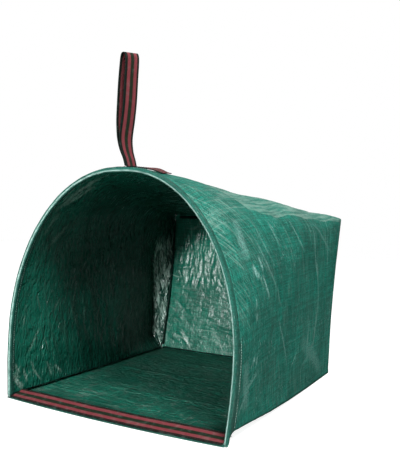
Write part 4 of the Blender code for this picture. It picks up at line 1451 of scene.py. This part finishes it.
@made_once
def paper_material(nodes, shader, colour):
    """Pale paper that glows for the camera, so that it stays white round the bag's shadow."""
    shader["Roughness"].default_value = 0.9
    shader["Base Color"].default_value = (*colour, 1.0)
    paper = nodes.tree.nodes["Principled BSDF"].outputs[0]
    glow = nodes.put("Emission", {"Color": (1.0, 1.0, 1.0, 1.0), "Strength": 0.90})[0]
    camera = nodes.put("LightPath", {})["Is Camera Ray"]
    lit = nodes.put("AddShader", {0: paper, 1: glow})[0]
    mixed = nodes.put("MixShader", {0: camera, 1: paper, 2: lit})[0]
    nodes.give(mixed, nodes.tree.nodes["Material Output"].inputs["Surface"])


def make_surround():
    """A dim white world that looks bright white to rays that see it directly."""
    world = bpy.data.worlds.new("stage_world")
    bpy.context.scene.world = world
    world.use_nodes = True
    nodes = Nodes(world.node_tree)
    background = world.node_tree.nodes["Background"].inputs
    background["Color"].default_value = (1.0, 1.0, 1.0, 1.0)
    rays = nodes.put("LightPath", {})
    seen = nodes.most(nodes.most(rays["Is Camera Ray"], rays["Is Transmission Ray"]), rays["Is Glossy Ray"])
    nodes.give(nodes.ramp(seen, 0.0, 1.0, 0.08, 1.0), background["Strength"])


def add_lamp(name, place, target, size, power, glints_only=False):
    lamp = bpy.data.lights.new(name, "AREA")
    lamp.shape = "RECTANGLE"
    lamp.size, lamp.size_y = size
    lamp.energy = power
    holder = add_object(name, lamp)
    holder.location = place
    holder.visible_diffuse = not glints_only
    holder.rotation_euler = (Vector(target) - holder.location).to_track_quat("-Z", "Y").to_euler()


def make_stage(colours):
    bm = bmesh.new()
    bmesh.ops.create_grid(bm, x_segments=8, y_segments=8, size=6.0)
    bmesh.ops.translate(bm, vec=Vector((0.0, 0.0, -0.0004)), verts=bm.verts)
    ground = add_object("stage_floor", to_mesh("stage_floor", bm))
    ground.data.materials.append(paper_material("stage_paper", colours.stage))
    make_surround()
    add_lamp("lamp_key", (1.55, -1.36, 2.56), (0.05, -0.1, 0.25), (0.95, 0.95), 90.0)
    add_lamp("lamp_front", (0.20, -6.0, 1.34), (0.0, 0.2, 0.2), (0.50, 0.50), 350.0)
    add_lamp("lamp_glints", (0.15, -6.0, 1.30), (0.0, 0.2, 0.2), (0.9, 0.7), 660.0, glints_only=True)
    add_lamp("lamp_top", (0.1, 0.5, 2.2), (0.0, 0.05, 0.3), (0.8, 0.8), 12.0)
    lens = bpy.data.cameras.new("photo_camera")
    lens.lens = 46.345
    lens.sensor_width = 36.0
    camera = add_object("photo_camera", lens)
    right, up = Vector((0.88177, 0.47059, 0.03201)), Vector((-0.02996, -0.01183, 0.99948))
    turn = Matrix((right, up, right.cross(up))).transposed().to_4x4()
    camera.matrix_world = Matrix.Translation((0.65019, -1.17051, 0.36755)) @ turn
    bpy.context.scene.camera = camera
    bpy.context.scene.view_settings.view_transform = "Standard"


def settings(context):
    """The sizes and the colours that the operators build with."""
    return context.scene.garden_bag_sizes, context.scene.garden_bag_colours


class GARDENBAG_OT_stage(bpy.types.Operator):
    """Set up the pale floor, the soft lamps and the camera"""

    bl_idname = "garden_bag.stage"
    bl_label = "Stage"
    bl_options = {"REGISTER", "UNDO"}

    def execute(self, context):
        make_stage(context.scene.garden_bag_colours)
        return {"FINISHED"}


class GARDENBAG_OT_frame(bpy.types.Operator):
    """Give the hoop, its tips and the batten their finish"""

    bl_idname = "garden_bag.frame"
    bl_label = "Hoop and batten"
    bl_options = {"REGISTER", "UNDO"}

    def execute(self, context):
        dress_frame(context.scene.garden_bag_colours)
        return {"FINISHED"}


class GARDENBAG_OT_panels(bpy.types.Operator):
    """Make the wrap, the floor and the rear panel from cloth"""

    bl_idname = "garden_bag.panels"
    bl_label = "Cloth panels"
    bl_options = {"REGISTER", "UNDO"}

    def execute(self, context):
        make_wrap(*settings(context))
        make_floor(*settings(context))
        make_rear(*settings(context))
        return {"FINISHED"}


class GARDENBAG_OT_hem(bpy.types.Operator):
    """Fold the hem round the hoop and sew it"""

    bl_idname = "garden_bag.hem"
    bl_label = "Mouth hem"
    bl_options = {"REGISTER", "UNDO"}

    def execute(self, context):
        make_hem(*settings(context))
        return {"FINISHED"}


class GARDENBAG_OT_sill(bpy.types.Operator):
    """Fold the sill over its batten and sew the webbing on it"""

    bl_idname = "garden_bag.sill"
    bl_label = "Sill"
    bl_options = {"REGISTER", "UNDO"}

    def execute(self, context):
        make_sill(*settings(context))
        return {"FINISHED"}


class GARDENBAG_OT_handles(bpy.types.Operator):
    """Make the two webbing handles and sew their tails"""

    bl_idname = "garden_bag.handles"
    bl_label = "Handles"
    bl_options = {"REGISTER", "UNDO"}

    def execute(self, context):
        make_front_handle(*settings(context))
        make_rear_handle(*settings(context))
        return {"FINISHED"}


class GARDENBAG_OT_seams(bpy.types.Operator):
    """Bind the inner seams with tape"""

    bl_idname = "garden_bag.seams"
    bl_label = "Bound seams"
    bl_options = {"REGISTER", "UNDO"}

    def execute(self, context):
        make_seams(*settings(context))
        return {"FINISHED"}


STEPS = ("stage", "frame", "panels", "hem", "sill", "handles", "seams")


class GARDENBAG_PT_sidebar(bpy.types.Panel):
    """The bag's steps, sizes and colours"""

    bl_idname = "GARDENBAG_PT_sidebar"
    bl_label = "Garden bag"
    bl_space_type = "VIEW_3D"
    bl_region_type = "UI"
    bl_category = "Garden bag"

    def draw(self, context):
        for step in STEPS:
            self.layout.operator(f"garden_bag.{step}")
        for group in settings(context):
            for name in group.__annotations__:
                self.layout.prop(group, name)


CLASSES = (
    GardenBagSizes, GardenBagColours, GARDENBAG_OT_stage, GARDENBAG_OT_frame, GARDENBAG_OT_panels,
    GARDENBAG_OT_hem, GARDENBAG_OT_sill, GARDENBAG_OT_handles, GARDENBAG_OT_seams, GARDENBAG_PT_sidebar,
)


def register():
    for item in CLASSES:
        bpy.utils.register_class(item)
    bpy.types.Scene.garden_bag_sizes = bpy.props.PointerProperty(type=GardenBagSizes)
    bpy.types.Scene.garden_bag_colours = bpy.props.PointerProperty(type=GardenBagColours)


def unregister():
    del bpy.types.Scene.garden_bag_colours
    del bpy.types.Scene.garden_bag_sizes
    for item in reversed(CLASSES):
        bpy.utils.unregister_class(item)


def main():
    register()
    for step in STEPS:
        getattr(bpy.ops.garden_bag, step)()


if __name__ == "__main__":
    main()
